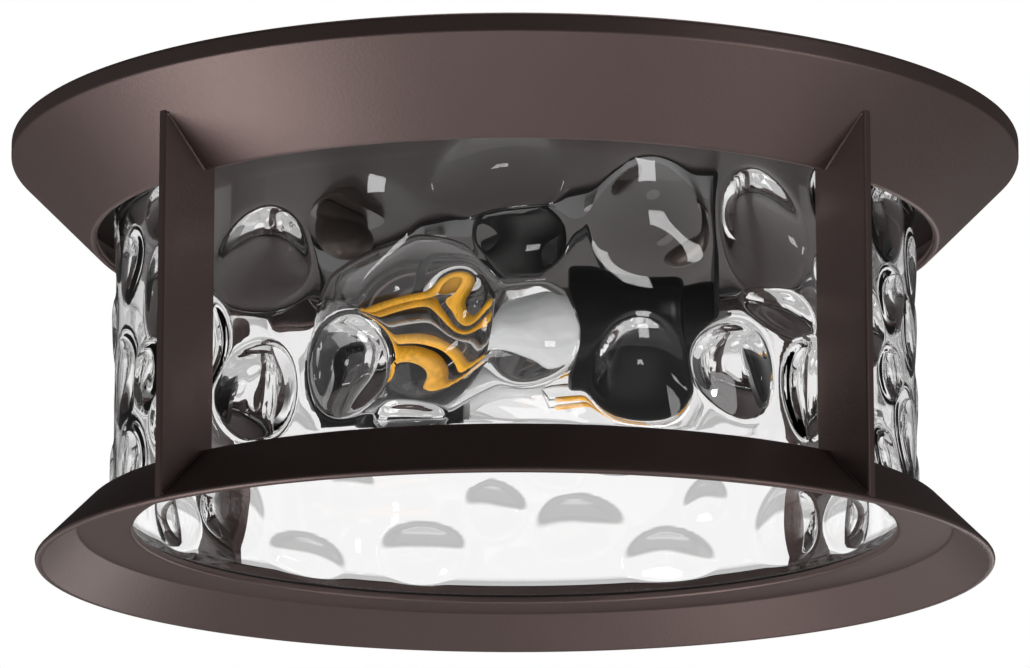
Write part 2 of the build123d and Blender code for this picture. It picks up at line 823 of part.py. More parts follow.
# Leads: out of the socket's top, across under the pan, up through the bushing, and into
# the connector of their colour. The black pair goes right, the white pair left.
lead_end_x = connector_mouth + connector_grip
lead_end_y = lead_radius + lead_pair_gap / 2
for side, name in ((1, "front"), (-1, "back")):
    for colour, hand in (("black", 1), ("white", -1)):
        exit_x = side * (socket_mouth + lead_exit_distance)
        exit_y = -side * lamp_offset + hand * lead_spread
        socket_top = -lamp_drop + socket_radius
        rise = Vector(exit_x, exit_y, socket_top + lead_rise)
        slot_x = hand * lead_slot_x
        slot_y = -side * lead_slot_y
        turn = Vector(slot_x, slot_y, -pan_drop - lead_turn_drop)
        lead_points = [
            Vector(exit_x, exit_y, socket_top - lead_hole_depth),
            rise,
            (rise + turn) * 0.5 - Vector(0, 0, lead_sag),
            turn,
            Vector(slot_x, slot_y, connector_z),
            Vector(hand * lead_end_x, -side * lead_end_y, connector_z),
        ]
        wire(lead_points, lead_radius, f"{name}_lead_{colour}")

# Wire connectors lie on the pan's floor, one over each pair of leads
for hand, colour in ((1, "black"), (-1, "white")):
    along = Vector(hand, 0, 0)
    connector_origin = Vector(0, 0, connector_z)
    connector_plane = Plane(origin=connector_origin, x_dir=along, z_dir=(0, -hand, 0))
    connector_end = connector_mouth + connector_length
    with BuildPart() as connector:
        with BuildSketch(connector_plane) as connector_section:
            with BuildLine():
                Polyline(
                    (connector_mouth, connector_bore_radius),
                    (connector_mouth, connector_radius),
                    (connector_end, connector_tip_radius),
                    (connector_end, 0),
                    (connector_mouth + connector_bore_depth, 0),
                    (connector_mouth + connector_bore_depth, connector_bore_radius),
                    close=True,
                )
            make_face()
        revolve(axis=Axis(connector_origin, along))
    keep(connector, f"wire_connector_{colour}")

# Ground screws on the crossbar and on the pan, with the bare lead beside their shanks
lead_z = -crossbar_thickness - ground_wire_radius
pan_lead_z = pan_floor + ground_wire_radius
ground_lead_x = ground_screw_x - ground_screw_radius - ground_wire_radius - small_gap
with BuildPart() as ground_screw:
    with BuildSketch():
        with Locations((ground_screw_x, 0)):
            Circle(ground_screw_radius)
    extrude(amount=lead_z - ground_wire_radius - screw_head_height)
    with BuildSketch(Plane.XY.offset(lead_z - ground_wire_radius)):
        with Locations((ground_screw_x, 0)):
            Circle(ground_head_radius)
    extrude(amount=-screw_head_height)
keep(ground_screw, "ground_screw")

with BuildPart() as pan_ground_screw:
    head_bottom = pan_lead_z + ground_wire_radius
    with BuildSketch(Plane.XY.offset(-pan_drop)):
        with Locations((ground_screw_x, pan_ground_screw_y)):
            Circle(ground_screw_radius)
    extrude(amount=head_bottom + pan_drop)
    with BuildSketch(Plane.XY.offset(head_bottom)):
        with Locations((ground_screw_x, pan_ground_screw_y)):
            Circle(ground_head_radius)
    extrude(amount=screw_head_height)
keep(pan_ground_screw, "pan_ground_screw")

ground_points = [
    Vector(ground_lead_x, ground_tail, lead_z),
    Vector(ground_lead_x, ground_step_start, lead_z),
    Vector(ground_lead_x, ground_step_end, pan_lead_z),
    Vector(ground_lead_x, pan_ground_screw_y - ground_tail, pan_lead_z),
]
wire(ground_points, ground_wire_radius, "ground_lead")

os.makedirs("parts", exist_ok=True)
for piece in pieces:
    export_step(piece.part, f"parts/{piece.part.label}.step")
print(len(pieces), "pieces written")
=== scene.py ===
import math
import bmesh
import bpy
import numpy as np
from mathutils import Matrix, Vector


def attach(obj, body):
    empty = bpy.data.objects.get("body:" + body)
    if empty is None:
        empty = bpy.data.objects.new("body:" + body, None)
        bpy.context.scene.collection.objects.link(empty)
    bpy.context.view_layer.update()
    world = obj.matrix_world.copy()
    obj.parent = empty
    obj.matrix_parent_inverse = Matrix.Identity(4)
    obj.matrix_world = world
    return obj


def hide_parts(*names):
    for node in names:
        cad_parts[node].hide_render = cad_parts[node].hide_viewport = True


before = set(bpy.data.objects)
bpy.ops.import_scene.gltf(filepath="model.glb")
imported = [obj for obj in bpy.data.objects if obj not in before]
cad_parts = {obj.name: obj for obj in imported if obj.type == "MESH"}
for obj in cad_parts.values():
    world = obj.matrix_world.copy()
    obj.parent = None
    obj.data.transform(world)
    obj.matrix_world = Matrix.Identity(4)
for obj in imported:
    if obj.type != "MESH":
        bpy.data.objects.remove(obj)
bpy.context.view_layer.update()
mm = 0.001  # a millimetre in metres
scene = bpy.context.scene
scene.view_settings.view_transform = "Standard"


# Camera: level with the air under the light, looking slightly up at it
cameraSetup = {
    "place": (0.0, -1.956, -0.515),  # metres
    "pitch": 13.04,  # degrees above level
    "lens": 214.9,  # mm
    "film": 36.0,  # width of the film in mm
    "clip": (0.05, 30.0),  # nearest and furthest distance in metres
}


def aimCamera(setup):
    # a camera that looks along Y, turned up by its pitch
    data = bpy.data.cameras.new("viewCamera")
    data.lens = setup["lens"]
    data.sensor_width = setup["film"]
    data.sensor_fit = "HORIZONTAL"
    data.clip_start, data.clip_end = setup["clip"]
    camera = bpy.data.objects.new("viewCamera", data)
    camera.location = setup["place"]
    camera.rotation_euler = (math.radians(90.0 + setup["pitch"]), 0.0, 0.0)
    scene.collection.objects.link(camera)
    scene.camera = camera


aimCamera(cameraSetup)
print("camera placed")


# Studio: a pale floor far below, a dark top as under a ceiling, and soft lamps
studioSetup = {
    "floorDrop": 1.25,  # metres under the ceiling
    "floorSize": 14.0,  # metres
    "floorTone": 0.80,
    "floorRough": 0.9,
    "floorWhite": 0.93,  # share of plain white that the camera and clear glass see
    "floorDim": (1.9, 3.2, 1.0, 0.72),  # near and far distance, and the white that glass sees there
    "background": 1.0,  # strength of the white backdrop
    "frontDark": -0.30,  # how far to the front a view through glass stays on the dark room
    "backWhite": 0.10,  # how far to the back it is fully on the white backdrop
    # light of the room from straight down (0) over level (0.5) to overhead (1)
    "roomLight": ((0.0, (0.22, 0.22, 0.2222)), (0.50, (0.07, 0.07, 0.0707)),
                  (0.72, (0.04, 0.04, 0.04)), (1.0, (0.04, 0.04, 0.04))),
    # grey that clear glass shows from straight down to overhead
    "seenGrey": ((0.0, 0.95), (0.40, 0.95), (0.45, 0.55), (0.565, 0.55),
                 (0.59, 1.0), (0.80, 1.0), (0.86, 0.20), (1.0, 0.20)),
}
# name, place, side of the square box, power
boxLamps = (
    ("lowLeftBox", (-0.74, -0.02, -0.86), 0.5, 3.7),
    ("lowFrontBox", (0.0, -0.75, -1.10), 0.6, 1.4),
    ("backRightBox", (0.50, 0.98, -0.62), 0.5, 1.9),
    ("backLeftBox", (-0.50, 0.98, -0.62), 0.5, 0.7),
    ("frontRightBox", (1.55, -1.20, -0.10), 0.5, 3.4),
    ("farLeftBox", (-1.20, -0.60, -0.90), 0.5, 4.8),
    ("farRightBox", (1.20, -0.60, -0.90), 0.5, 5.2),
    ("topBox", (0.10, 0.20, 1.30), 0.8, 5.0),
)
# small windows that only glint on the glass, and are seen through it
windowLamps = (
    ("leftWindow", (-1.35, -1.75, 0.68), 0.23, 1.6),
    ("rightWindow", (1.25, -1.75, 0.76), 0.29, 2.5),
    ("topWindow", (-0.15, -2.20, 0.70), 0.16, 0.65),
)
lampAim = (0.0, 0.0, -0.07)  # every lamp faces the light's middle


def setInputs(node, values):
    # plain values on a node's inputs, by name or number
    for key, value in values.items():
        node.inputs[key].default_value = value


def nodeIn(tree, kind, at, inputs=None, **settings):
    # a new shader node at its place in the tree, with its settings and its inputs' plain values
    node = tree.nodes.new("ShaderNode" + kind)
    node.location = at
    for key, value in settings.items():
        setattr(node, key, value)
    setInputs(node, inputs or {})
    return node


def wire(tree, *rows):
    # each row links an output of one node to an input of another
    for source, output, target, entry in rows:
        tree.links.new(source.outputs[output], target.inputs[entry])


def fillRamp(node, rows):
    # stops of a colour ramp from rows of place and colour, in rising order
    stops = node.color_ramp.elements
    stops[0].position, stops[1].position = rows[0][0], rows[-1][0]
    for place, _ in rows[1:-1]:
        stops.new(place)
    for stop, (_, color) in zip(stops, rows):
        stop.color = (*color, 1.0)


def buildWorld(setup):
    # both ramps read half the direction's Z plus a half. The camera sees the white backdrop. A view
    # through glass that has met no matt surface sees the grey ramp, by an eased share that rises
    # with the direction's Y; everything else gets the room's light
    world = bpy.data.worlds.new("studioWorld")
    world.use_nodes = True
    scene.world = world
    tree = world.node_tree
    tree.nodes.clear()
    coords = nodeIn(tree, "TexCoord", (-600, -100))
    split = nodeIn(tree, "SeparateXYZ", (-400, -100))
    height = nodeIn(tree, "Math", (-300, -300), {1: 0.5, 2: 0.5}, operation="MULTIPLY_ADD")
    roomRamp = nodeIn(tree, "ValToRGB", (-200, -100))
    fillRamp(roomRamp, setup["roomLight"])
    seenRamp = nodeIn(tree, "ValToRGB", (-200, -400))
    fillRamp(seenRamp, [(place, (grey, grey, grey)) for place, grey in setup["seenGrey"]])
    room = nodeIn(tree, "Background", (200, -100))
    seen = nodeIn(tree, "Background", (200, -300))
    white = nodeIn(tree, "Background", (200, 100),
                   {"Color": (1.0, 1.0, 1.0, 1.0), "Strength": setup["background"]})
    path = nodeIn(tree, "LightPath", (0, 400))
    unscattered = nodeIn(tree, "Math", (0, 650), {1: 0.5}, operation="LESS_THAN")
    through = nodeIn(tree, "Math", (200, 600), operation="MULTIPLY")
    backward = nodeIn(tree, "MapRange", (200, 800),
                      {"From Min": setup["frontDark"], "From Max": setup["backWhite"]},
                      interpolation_type="SMOOTHSTEP")
    shown = nodeIn(tree, "Math", (400, 600), operation="MULTIPLY")
    glassMix = nodeIn(tree, "MixShader", (450, -100))
    mix = nodeIn(tree, "MixShader", (600, 0))
    out = nodeIn(tree, "OutputWorld", (900, 0))
    wire(tree,
         (coords, "Generated", split, 0), (split, "Z", height, 0), (split, "Y", backward, "Value"),
         (height, 0, roomRamp, 0), (height, 0, seenRamp, 0),
         (roomRamp, 0, room, "Color"), (seenRamp, 0, seen, "Color"),
         (path, "Diffuse Depth", unscattered, 0), (path, "Is Transmission Ray", through, 0),
         (unscattered, 0, through, 1), (through, 0, shown, 0), (backward, 0, shown, 1),
         (shown, 0, glassMix, 0), (room, 0, glassMix, 1), (seen, 0, glassMix, 2),
         (path, "Is Camera Ray", mix, 0), (glassMix, 0, mix, 1), (white, 0, mix, 2),
         (mix, 0, out, "Surface"))


def hangLamps(rows, throughGlass):
    # square soft boxes that the camera never sees; a view through glass sees them only if told to
    for name, place, side, power in rows:
        data = bpy.data.lights.new(name, "AREA")
        data.shape = "SQUARE"
        data.size = side
        data.energy = power
        lamp = bpy.data.objects.new(name, data)
        lamp.location = place
        lamp.rotation_euler = (Vector(lampAim) - Vector(place)).to_track_quat("-Z", "Y").to_euler()
        lamp.visible_camera = False
        lamp.visible_transmission = throughGlass
        scene.collection.objects.link(lamp)


buildWorld(studioSetup)
hangLamps(boxLamps, False)
hangLamps(windowLamps, True)
print("studio lit")


# Surfaces: every new piece is a grid of points, closed by quads
meshing = {"mergeGap": 0.004, "shortEdge": 0.001}  # mm


def gridQuads(rows, columns, closed):
    # quad (i, j) joins points (i, j), (i+1, j), (i+1, j+1), (i, j+1); the rows wrap round, and the
    # columns do if their outline is closed
    i = np.arange(rows)[:, None]
    j = np.arange(columns if closed else columns - 1)[None, :]
    nextI, nextJ = (i + 1) % rows, (j + 1) % columns
    corners = np.stack([
        i * columns + j, nextI * columns + j, nextI * columns + nextJ, i * columns + nextJ,
    ], axis=-1)
    return corners.reshape(-1, 4)


def addPiece(name, points, finish, body, closed=True):
    # points[row, column] in mm become a smooth mesh whose doubles are merged, with faces outwards
    quads = gridQuads(*points.shape[:2], closed)
    mesh = bpy.data.meshes.new(name)
    mesh.vertices.add(points.size // 3)
    mesh.vertices.foreach_set("co", (points * mm).ravel())
    mesh.loops.add(quads.size)
    mesh.loops.foreach_set("vertex_index", quads.astype(np.int32).ravel())
    mesh.polygons.add(len(quads))
    mesh.polygons.foreach_set("loop_start", np.arange(0, quads.size, 4, dtype=np.int32))
    mesh.update(calc_edges=True)
    work = bmesh.new()
    work.from_mesh(mesh)
    bmesh.ops.remove_doubles(work, verts=work.verts, dist=meshing["mergeGap"] * mm)
    bmesh.ops.dissolve_degenerate(work, edges=work.edges, dist=meshing["shortEdge"] * mm)
    bmesh.ops.recalc_face_normals(work, faces=work.faces)
    work.to_mesh(mesh)
    work.free()
    mesh.polygons.foreach_set("use_smooth", np.ones(len(mesh.polygons), bool))
    mesh.materials.append(finishes[finish])
    piece = bpy.data.objects.new(name, mesh)
    scene.collection.objects.link(piece)
    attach(piece, body)
    return piece


def standFor(piece, node):
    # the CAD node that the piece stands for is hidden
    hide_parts(node)


def roundedOutline(corners, radii, steps=7, closed=True, hold=0.35, holdShare=0.4):
    # each corner becomes an arc of its radius, and a holding point stands just outside its ends
    spots = [np.array(c, float) for c in corners]
    count = len(spots)
    rows = []
    for k in range(count):
        here, radius = spots[k], radii[k]
        if not closed and k in (0, count - 1):
            rows.append(here[None, :])
            continue
        inward, onward = spots[k - 1] - here, spots[(k + 1) % count] - here
        lengthIn, lengthOn = np.linalg.norm(inward), np.linalg.norm(onward)
        inward, onward = inward / lengthIn, onward / lengthOn
        halfTurn = math.acos(inward @ onward) / 2
        reach = radius / math.tan(halfTurn)
        bisector = inward + onward
        centre = here + bisector / np.linalg.norm(bisector) * radius / math.sin(halfTurn)
        start, end = here + inward * reach, here + onward * reach
        a, b = start - centre, end - centre
        sweep = math.pi - 2 * halfTurn
        t = np.linspace(0, 1, steps)[:, None]
        arc = centre + (np.sin((1 - t) * sweep) * a + np.sin(t * sweep) * b) / math.sin(sweep)
        holdIn = min(hold, (lengthIn - reach) * holdShare)
        holdOn = min(hold, (lengthOn - reach) * holdShare)
        rows.append(np.vstack([start + inward * holdIn, arc, end + onward * holdOn]))
    return np.vstack(rows)


def fullTurn(steps):
    # angles of a full turn, one per row
    return np.linspace(0, 2 * np.pi, steps, endpoint=False)[:, None]


def aroundZ(radius, height, turn):
    # points at a radius and height, turned about Z
    x, y = radius * np.cos(turn), radius * np.sin(turn)
    return np.stack(np.broadcast_arrays(x, y, height), axis=-1)


def turnPiece(name, outline, finish, body, steps, closed=True):
    # outline (radius, height) carried round the Z axis
    return addPiece(name, aroundZ(*outline.T, fullTurn(steps)), finish, body, closed)


def rodMesh(name, start, end, radius, finish, body, sides=14, domeSteps=5):
    # a rod that isn't upright: rings along it whose radius follows a quarter circle at each end
    length = np.linalg.norm(end - start)
    axis = (end - start) / length
    across = np.cross(axis, (0.0, 0.0, 1.0))
    across /= np.linalg.norm(across)
    over = np.cross(axis, across)
    dome = np.linspace(0, np.pi / 2, domeSteps)
    along = np.concatenate([
        -np.cos(dome) * radius + radius, length - radius + np.sin(dome) * radius,
    ])[:, None]
    ringRadius = np.concatenate([np.sin(dome) * radius, np.cos(dome) * radius])
    turn = fullTurn(sides)
    points = (start + along * axis + (ringRadius * np.cos(turn))[..., None] * across
              + (ringRadius * np.sin(turn))[..., None] * over)
    return addPiece(name, points, finish, body, closed=False)


def joinMeshes(name, parts):
    # several small pieces become one mesh, under the first piece's object
    work = bmesh.new()
    for part in parts:
        work.from_mesh(part.data)
    first = parts[0]
    work.to_mesh(first.data)
    work.free()
    first.data.polygons.foreach_set("use_smooth", np.ones(len(first.data.polygons), bool))
    for part in parts[1:]:
        bpy.data.objects.remove(part)
    first.name = name
    return first


# Shader groups that several finishes use
def openGroup(name, inputs, outputs):
    # an empty group with its named inputs, their kinds and plain values, and its outputs
    group = bpy.data.node_groups.new(name, "ShaderNodeTree")
    for label, kind, value in inputs:
        group.interface.new_socket(label, in_out="INPUT", socket_type=kind).default_value = value
    for label, kind in outputs:
        group.interface.new_socket(label, in_out="OUTPUT", socket_type=kind)
    gin, gout = group.nodes.new("NodeGroupInput"), group.nodes.new("NodeGroupOutput")
    gin.location, gout.location = (-900, 0), (900, 0)
    return group, gin, gout


def buildToneGroup():
    # drift is slow noise plus fine noise less one: the colour is multiplied by one plus its share of
    # drift, and the roughness is moved by its own share
    group, gin, gout = openGroup("toneDrift", [
        ("Color", "NodeSocketColor", (0.5, 0.5, 0.5, 1.0)),
        ("Drift", "NodeSocketFloat", 0.08),
        ("Patch Scale", "NodeSocketFloat", 18.0),
        ("Speck Scale", "NodeSocketFloat", 900.0),
        ("Roughness", "NodeSocketFloat", 0.4),
        ("Roughness Drift", "NodeSocketFloat", 0.06),
    ], [("Color", "NodeSocketColor"), ("Roughness", "NodeSocketFloat")])
    coords = nodeIn(group, "TexCoord", (-900, -300))
    patch = nodeIn(group, "TexNoise", (-650, 100))
    speck = nodeIn(group, "TexNoise", (-650, -200))
    both = nodeIn(group, "Math", (-400, 0), operation="ADD")
    drift = nodeIn(group, "Math", (-220, 0), {1: 1.0}, operation="SUBTRACT")
    scaled = nodeIn(group, "Math", (-50, 0), {2: 1.0}, operation="MULTIPLY_ADD")
    tinted = nodeIn(group, "VectorMath", (200, 100), operation="SCALE")
    rough = nodeIn(group, "Math", (200, -200), operation="MULTIPLY_ADD")
    wire(group,
         (coords, "Object", patch, "Vector"), (coords, "Object", speck, "Vector"),
         (gin, "Patch Scale", patch, "Scale"), (gin, "Speck Scale", speck, "Scale"),
         (patch, 0, both, 0), (speck, 0, both, 1), (both, 0, drift, 0),
         (drift, 0, scaled, 0), (gin, "Drift", scaled, 1),
         (gin, "Color", tinted, 0), (scaled, 0, tinted, "Scale"),
         (drift, 0, rough, 0), (gin, "Roughness Drift", rough, 1), (gin, "Roughness", rough, 2),
         (tinted, 0, gout, "Color"), (rough, 0, gout, "Roughness"))
    return group


def buildGrainGroup():
    # height of a fine skin: soft noise for orange peel, plus a share of fine noise for grit
    group, gin, gout = openGroup("skinGrain", [
        ("Peel Scale", "NodeSocketFloat", 420.0),
        ("Grit Scale", "NodeSocketFloat", 2200.0),
        ("Grit Share", "NodeSocketFloat", 0.3),
    ], [("Height", "NodeSocketFloat")])
    coords = nodeIn(group, "TexCoord", (-900, -300))
    peel = nodeIn(group, "TexNoise", (-500, 100), {"Detail": 1.5})
    grit = nodeIn(group, "TexNoise", (-500, -200), {"Detail": 2.0})
    mix = nodeIn(group, "Math", (0, 0), operation="MULTIPLY_ADD")
    wire(group,
         (coords, "Object", peel, "Vector"), (coords, "Object", grit, "Vector"),
         (gin, "Peel Scale", peel, "Scale"), (gin, "Grit Scale", grit, "Scale"),
         (grit, 0, mix, 0), (gin, "Grit Share", mix, 1), (peel, 0, mix, 2),
         (mix, 0, gout, "Height"))
    return group


toneGroup = buildToneGroup()
grainGroup = buildGrainGroup()


def openMaterial(name):
    # a new material, its tree, its shader and its output
    material = bpy.data.materials.new(name)
    material.use_nodes = True
    tree = material.node_tree
    return material, tree, tree.nodes["Principled BSDF"], tree.nodes["Material Output"]


def makeFinish(name, color, roughness, metallic=0.0, drift=0.08, roughDrift=0.06, patchScale=18.0,
               speckScale=900.0, peelScale=420.0, gritScale=2200.0, gritShare=0.3, bump=0.1,
               bumpDepth=0.02, specular=0.5, coat=0.0, sheen=0.0, paintedGlow=0.0):
    # one solid finish: drifting tone and roughness with a bumped skin, and an optional painted glow
    material, tree, shader, _ = openMaterial(name)
    material.diffuse_color = (*color, 1.0)
    setInputs(shader, {"Metallic": metallic, "Specular IOR Level": specular, "Coat Weight": coat,
                       "Sheen Weight": sheen})
    tone = nodeIn(tree, "Group", (-500, 200), node_tree=toneGroup)
    setInputs(tone, {"Color": (*color, 1.0), "Drift": drift, "Patch Scale": patchScale,
                     "Speck Scale": speckScale, "Roughness": roughness, "Roughness Drift": roughDrift})
    grain = nodeIn(tree, "Group", (-700, -200), node_tree=grainGroup)
    setInputs(grain, {"Peel Scale": peelScale, "Grit Scale": gritScale, "Grit Share": gritShare})
    skin = nodeIn(tree, "Bump", (-300, -200), {"Strength": bump, "Distance": bumpDepth * mm})
    wire(tree,
         (tone, "Color", shader, "Base Color"), (tone, "Roughness", shader, "Roughness"),
         (grain, "Height", skin, "Height"), (skin, "Normal", shader, "Normal"))
    # painted glow: the tone is also given off as light, though the part is no lamp
    if paintedGlow:
        wire(tree, (tone, "Color", shader, "Emission Color"))
        setInputs(shader, {"Emission Strength": paintedGlow})
    return material


def makeGlass(name, color, ior, roughness=0.0, wavy=0.0, waveScale=60.0, clearShare=1.0,
              shade=(0.93, 0.94, 0.94)):
    # clear glass: light for shading passes straight through it, so that what stands inside is lit
    material, tree, shader, out = openMaterial(name)
    setInputs(shader, {"Base Color": (*color, 1.0), "Transmission Weight": clearShare, "IOR": ior,
                       "Roughness": roughness})
    clear = nodeIn(tree, "BsdfTransparent", (0, -500), {"Color": (*shade, 1.0)})
    path = nodeIn(tree, "LightPath", (0, 500))
    mix = nodeIn(tree, "MixShader", (350, 100))
    out.location = (600, 100)
    wire(tree,
         (path, "Is Shadow Ray", mix, 0), (shader, 0, mix, 1), (clear, 0, mix, 2),
         (mix, 0, out, "Surface"))
    if wavy:
        coords = nodeIn(tree, "TexCoord", (-900, -200))
        wave = nodeIn(tree, "TexNoise", (-700, -200), {"Scale": waveScale, "Detail": 1.0})
        skin = nodeIn(tree, "Bump", (-400, -200), {"Strength": 1.0, "Distance": wavy * mm})
        wire(tree,
             (coords, "Object", wave, "Vector"), (wave, 0, skin, "Height"),
             (skin, "Normal", shader, "Normal"))
    return material


# colour, roughness, and what differs from makeFinish's own values
solidFinishes = {
    "cagePaint": ((0.172, 0.122, 0.114), 0.48, {
        "metallic": 0.75, "peelScale": 850.0, "gritScale": 2400.0, "gritShare": 0.35,
        "bump": 0.9, "bumpDepth": 0.055}),
    "panPaint": ((0.045, 0.0335, 0.0315), 0.42, {
        "metallic": 0.3, "roughDrift": 0.02, "specular": 0.25}),
    "strapPaint": ((0.012, 0.011, 0.011), 0.30, {"metallic": 0.2, "roughDrift": 0.02}),
    "socketPhenolic": ((0.006, 0.006, 0.0065), 0.34, {
        "drift": 0.04, "roughDrift": 0.01, "bump": 0.02, "peelScale": 1500.0, "specular": 0.3}),
    "bareZinc": ((0.55, 0.55, 0.53), 0.32, {"metallic": 1.0, "drift": 0.12, "patchScale": 90.0}),
    "ballNutPaint": ((0.060, 0.044, 0.038), 0.30, {"metallic": 0.4}),
    "plainBrass": ((0.66, 0.45, 0.17), 0.28, {"metallic": 1.0, "drift": 0.10}),
    "rolledCap": ((0.72, 0.71, 0.69), 0.24, {"metallic": 1.0, "drift": 0.06}),
    "blackGlass": ((0.008, 0.008, 0.010), 0.06, {"coat": 0.5, "bump": 0.05}),
    # the filament's yellow coat, with a painted glow on top: the bulb is not lit
    "filamentCoatWithPaintedGlow": ((0.84, 0.40, 0.012), 0.50, {
        "drift": 0.9, "patchScale": 260.0, "speckScale": 2600.0, "bump": 0.6, "bumpDepth": 0.05,
        "paintedGlow": 0.10}),
    "supportWire": ((0.60, 0.59, 0.57), 0.25, {"metallic": 1.0}),
    "gasketRubber": ((0.020, 0.020, 0.020), 0.65, {"bump": 0.4}),
    "matFibre": ((0.72, 0.64, 0.38), 0.9, {
        "drift": 0.5, "patchScale": 60.0, "speckScale": 600.0, "peelScale": 160.0,
        "gritScale": 900.0, "gritShare": 0.8, "bump": 1.0, "bumpDepth": 0.6, "sheen": 0.3}),
    "bareCopper": ((0.72, 0.32, 0.16), 0.30, {"metallic": 1.0}),
    "greenZinc": ((0.03, 0.22, 0.07), 0.35, {"metallic": 0.6}),
    "connectorShell": ((0.62, 0.16, 0.02), 0.38, {"bump": 0.2}),
    "blackCord": ((0.014, 0.014, 0.014), 0.42, {"bump": 0.2}),
    "greyCord": ((0.032, 0.031, 0.030), 0.55, {"bump": 0.2}),
}
# colour, index of refraction, and what differs from makeGlass's own values
glassFinishes = {
    "cylinderGlass": ((0.985, 0.98, 0.98), 1.50, {"wavy": 0.03, "waveScale": 70.0}),
    "bulbGlass": ((0.995, 0.995, 0.995), 1.45, {}),
    "stemGlass": ((0.99, 0.99, 0.99), 1.50, {
        "roughness": 0.15, "wavy": 0.35, "waveScale": 420.0, "clearShare": 0.42}),
}
finishes = {name: makeFinish(name, color, roughness, **more)
            for name, (color, roughness, more) in solidFinishes.items()}
finishes.update((name, makeGlass(name, color, ior, **more))
                for name, (color, ior, more) in glassFinishes.items())
print("finishes made:", len(finishes))


nodeFinishes = {
    "upper_skirt": "cagePaint", "bottom_ring": "cagePaint", "fin_front_right": "cagePaint",
    "fin_back_right": "cagePaint", "fin_back_left": "cagePaint", "fin_front_left": "cagePaint",
    "canopy_pan": "panPaint", "lamp_bracket": "strapPaint", "glass_cylinder": "cylinderGlass",
    "glass_seat_gasket": "gasketRubber", "glass_top_gasket": "gasketRubber",
    "wire_bushing": "gasketRubber", "insulation_pad": "matFibre", "mounting_crossbar": "bareZinc",
    "mounting_studs": "bareZinc", "stud_lock_nuts": "bareZinc", "cage_screws": "bareZinc",
    "bracket_screws": "bareZinc", "left_stud_washer": "ballNutPaint",
    "right_stud_washer": "ballNutPaint", "left_ball_nut": "ballNutPaint",
    "right_ball_nut": "ballNutPaint", "ground_screw": "greenZinc",
    "pan_ground_screw": "ballNutPaint", "ground_lead": "bareCopper",
    "wire_connector_black": "connectorShell", "wire_connector_white": "connectorShell",
}
# parts that the front and the back lamp both have
lampFinishes = {
    "socket_body": "socketPhenolic", "socket_screw_shell": "plainBrass",
    "socket_contact": "plainBrass", "socket_nipple": "bareZinc", "socket_nut": "bareZinc",
    "bulb_glass": "bulbGlass", "bulb_cap": "rolledCap", "bulb_insulator": "blackGlass",
    "bulb_end_contact": "plainBrass", "bulb_stem": "stemGlass", "bulb_filaments": "filamentCoatWithPaintedGlow",
    "bulb_supports": "supportWire", "lead_black": "blackCord", "lead_white": "greyCord",
}
for place in ("front", "back"):
    for part, finish in lampFinishes.items():
        nodeFinishes[f"{place}_{part}"] = finish
for node, finish in nodeFinishes.items():
    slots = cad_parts[node].data.materials
    slots.clear()
    slots.append(finishes[finish])
print("nodes dressed:", len(nodeFinishes))


# Cage: the cone and the flared ring as smooth turned surfaces
cage = {
    "rimRadius": 165.0, "bandHeight": 6.0, "depth": 33.0, "wall": 2.8,
    "skirtRounds": (1.2, 1.2, 1.3, 1.3, 0.4, 0.3),  # from the rim's top down and back
    "height": 140.0, "ringRim": 156.5, "ringHeight": 18.5, "ringWall": 2.5, "recess": 132.6,
    "holeRadius": 123.6, "ledgeLow": -128.7, "ledgeHigh": -126.2,
    "ringRounds": (0.8, 2.6, 1.0, 0.5, 1.2, 1.0, 0.3, 0.4),  # from the recess's top outwards and back
    "bossCircle": 138.0, "bossRadius": 4.5, "bossBore": 2.05, "bossLength": 6.0, "panDrop": 22.0,
    "bossRounds": (0.1, 0.1, 0.5, 0.1),
    "finAngles": (-45.0, 45.0, 135.0, 225.0), "finThick": 3.2, "finIn": 138.6, "finOut": 154.4,
    "bead": 0.55,  # radius of the cast corner along a fin
    "aroundSteps": 360, "bossSteps": 40, "beadSides": 12,
}


def turnSkirt(c):
    # outline of the band, the cone at 45 degrees and its rounded lip, carried round Z
    lip = c["rimRadius"] - (c["depth"] - c["bandHeight"])
    shift = c["wall"] * math.sqrt(0.5)
    corners = [
        (c["rimRadius"], 0.0), (c["rimRadius"], -c["bandHeight"]), (lip, -c["depth"]),
        (lip - shift, -c["depth"] + shift),
        (c["rimRadius"] - c["wall"], -c["bandHeight"] + c["wall"] * math.tan(math.pi / 8)),
        (c["rimRadius"] - c["wall"], 0.0),
    ]
    outline = roundedOutline(corners, c["skirtRounds"])
    return turnPiece("cageSkirt", outline, "cagePaint", "fixture", c["aroundSteps"])


def turnRing(c):
    # outline of the shoulder, the flare, its rim and the ledge under the glass, carried round Z
    top = -c["height"] + c["ringHeight"]
    topRadius = c["ringRim"] - c["ringHeight"]
    inner = c["ringRim"] - c["ringWall"] * math.sqrt(2.0)
    crease = inner - (c["ledgeLow"] + c["height"])
    corners = [
        (c["recess"], top), (topRadius, top), (c["ringRim"], -c["height"]), (inner, -c["height"]),
        (crease, c["ledgeLow"]), (c["holeRadius"], c["ledgeLow"]),
        (c["holeRadius"], c["ledgeHigh"]), (c["recess"], c["ledgeHigh"]),
    ]
    outline = roundedOutline(corners, c["ringRounds"])
    return turnPiece("cageRing", outline, "cagePaint", "fixture", c["aroundSteps"])


def turnBosses(c):
    # four round bosses under the pan, each a small turned outline set over a fin
    bosses = []
    low = -c["panDrop"] - c["bossLength"]
    outline = roundedOutline(
        [(c["bossBore"], -c["panDrop"]), (c["bossRadius"], -c["panDrop"]), (c["bossRadius"], low),
         (c["bossBore"], low)], c["bossRounds"], steps=4)
    for number, angle in enumerate(c["finAngles"]):
        boss = turnPiece(f"boss{number}", outline, "cagePaint", "fixture", c["bossSteps"])
        out = Vector((math.cos(math.radians(angle)), math.sin(math.radians(angle)), 0.0))
        boss.data.transform(Matrix.Translation(out * c["bossCircle"] * mm))
        bosses.append(boss)
    return bosses


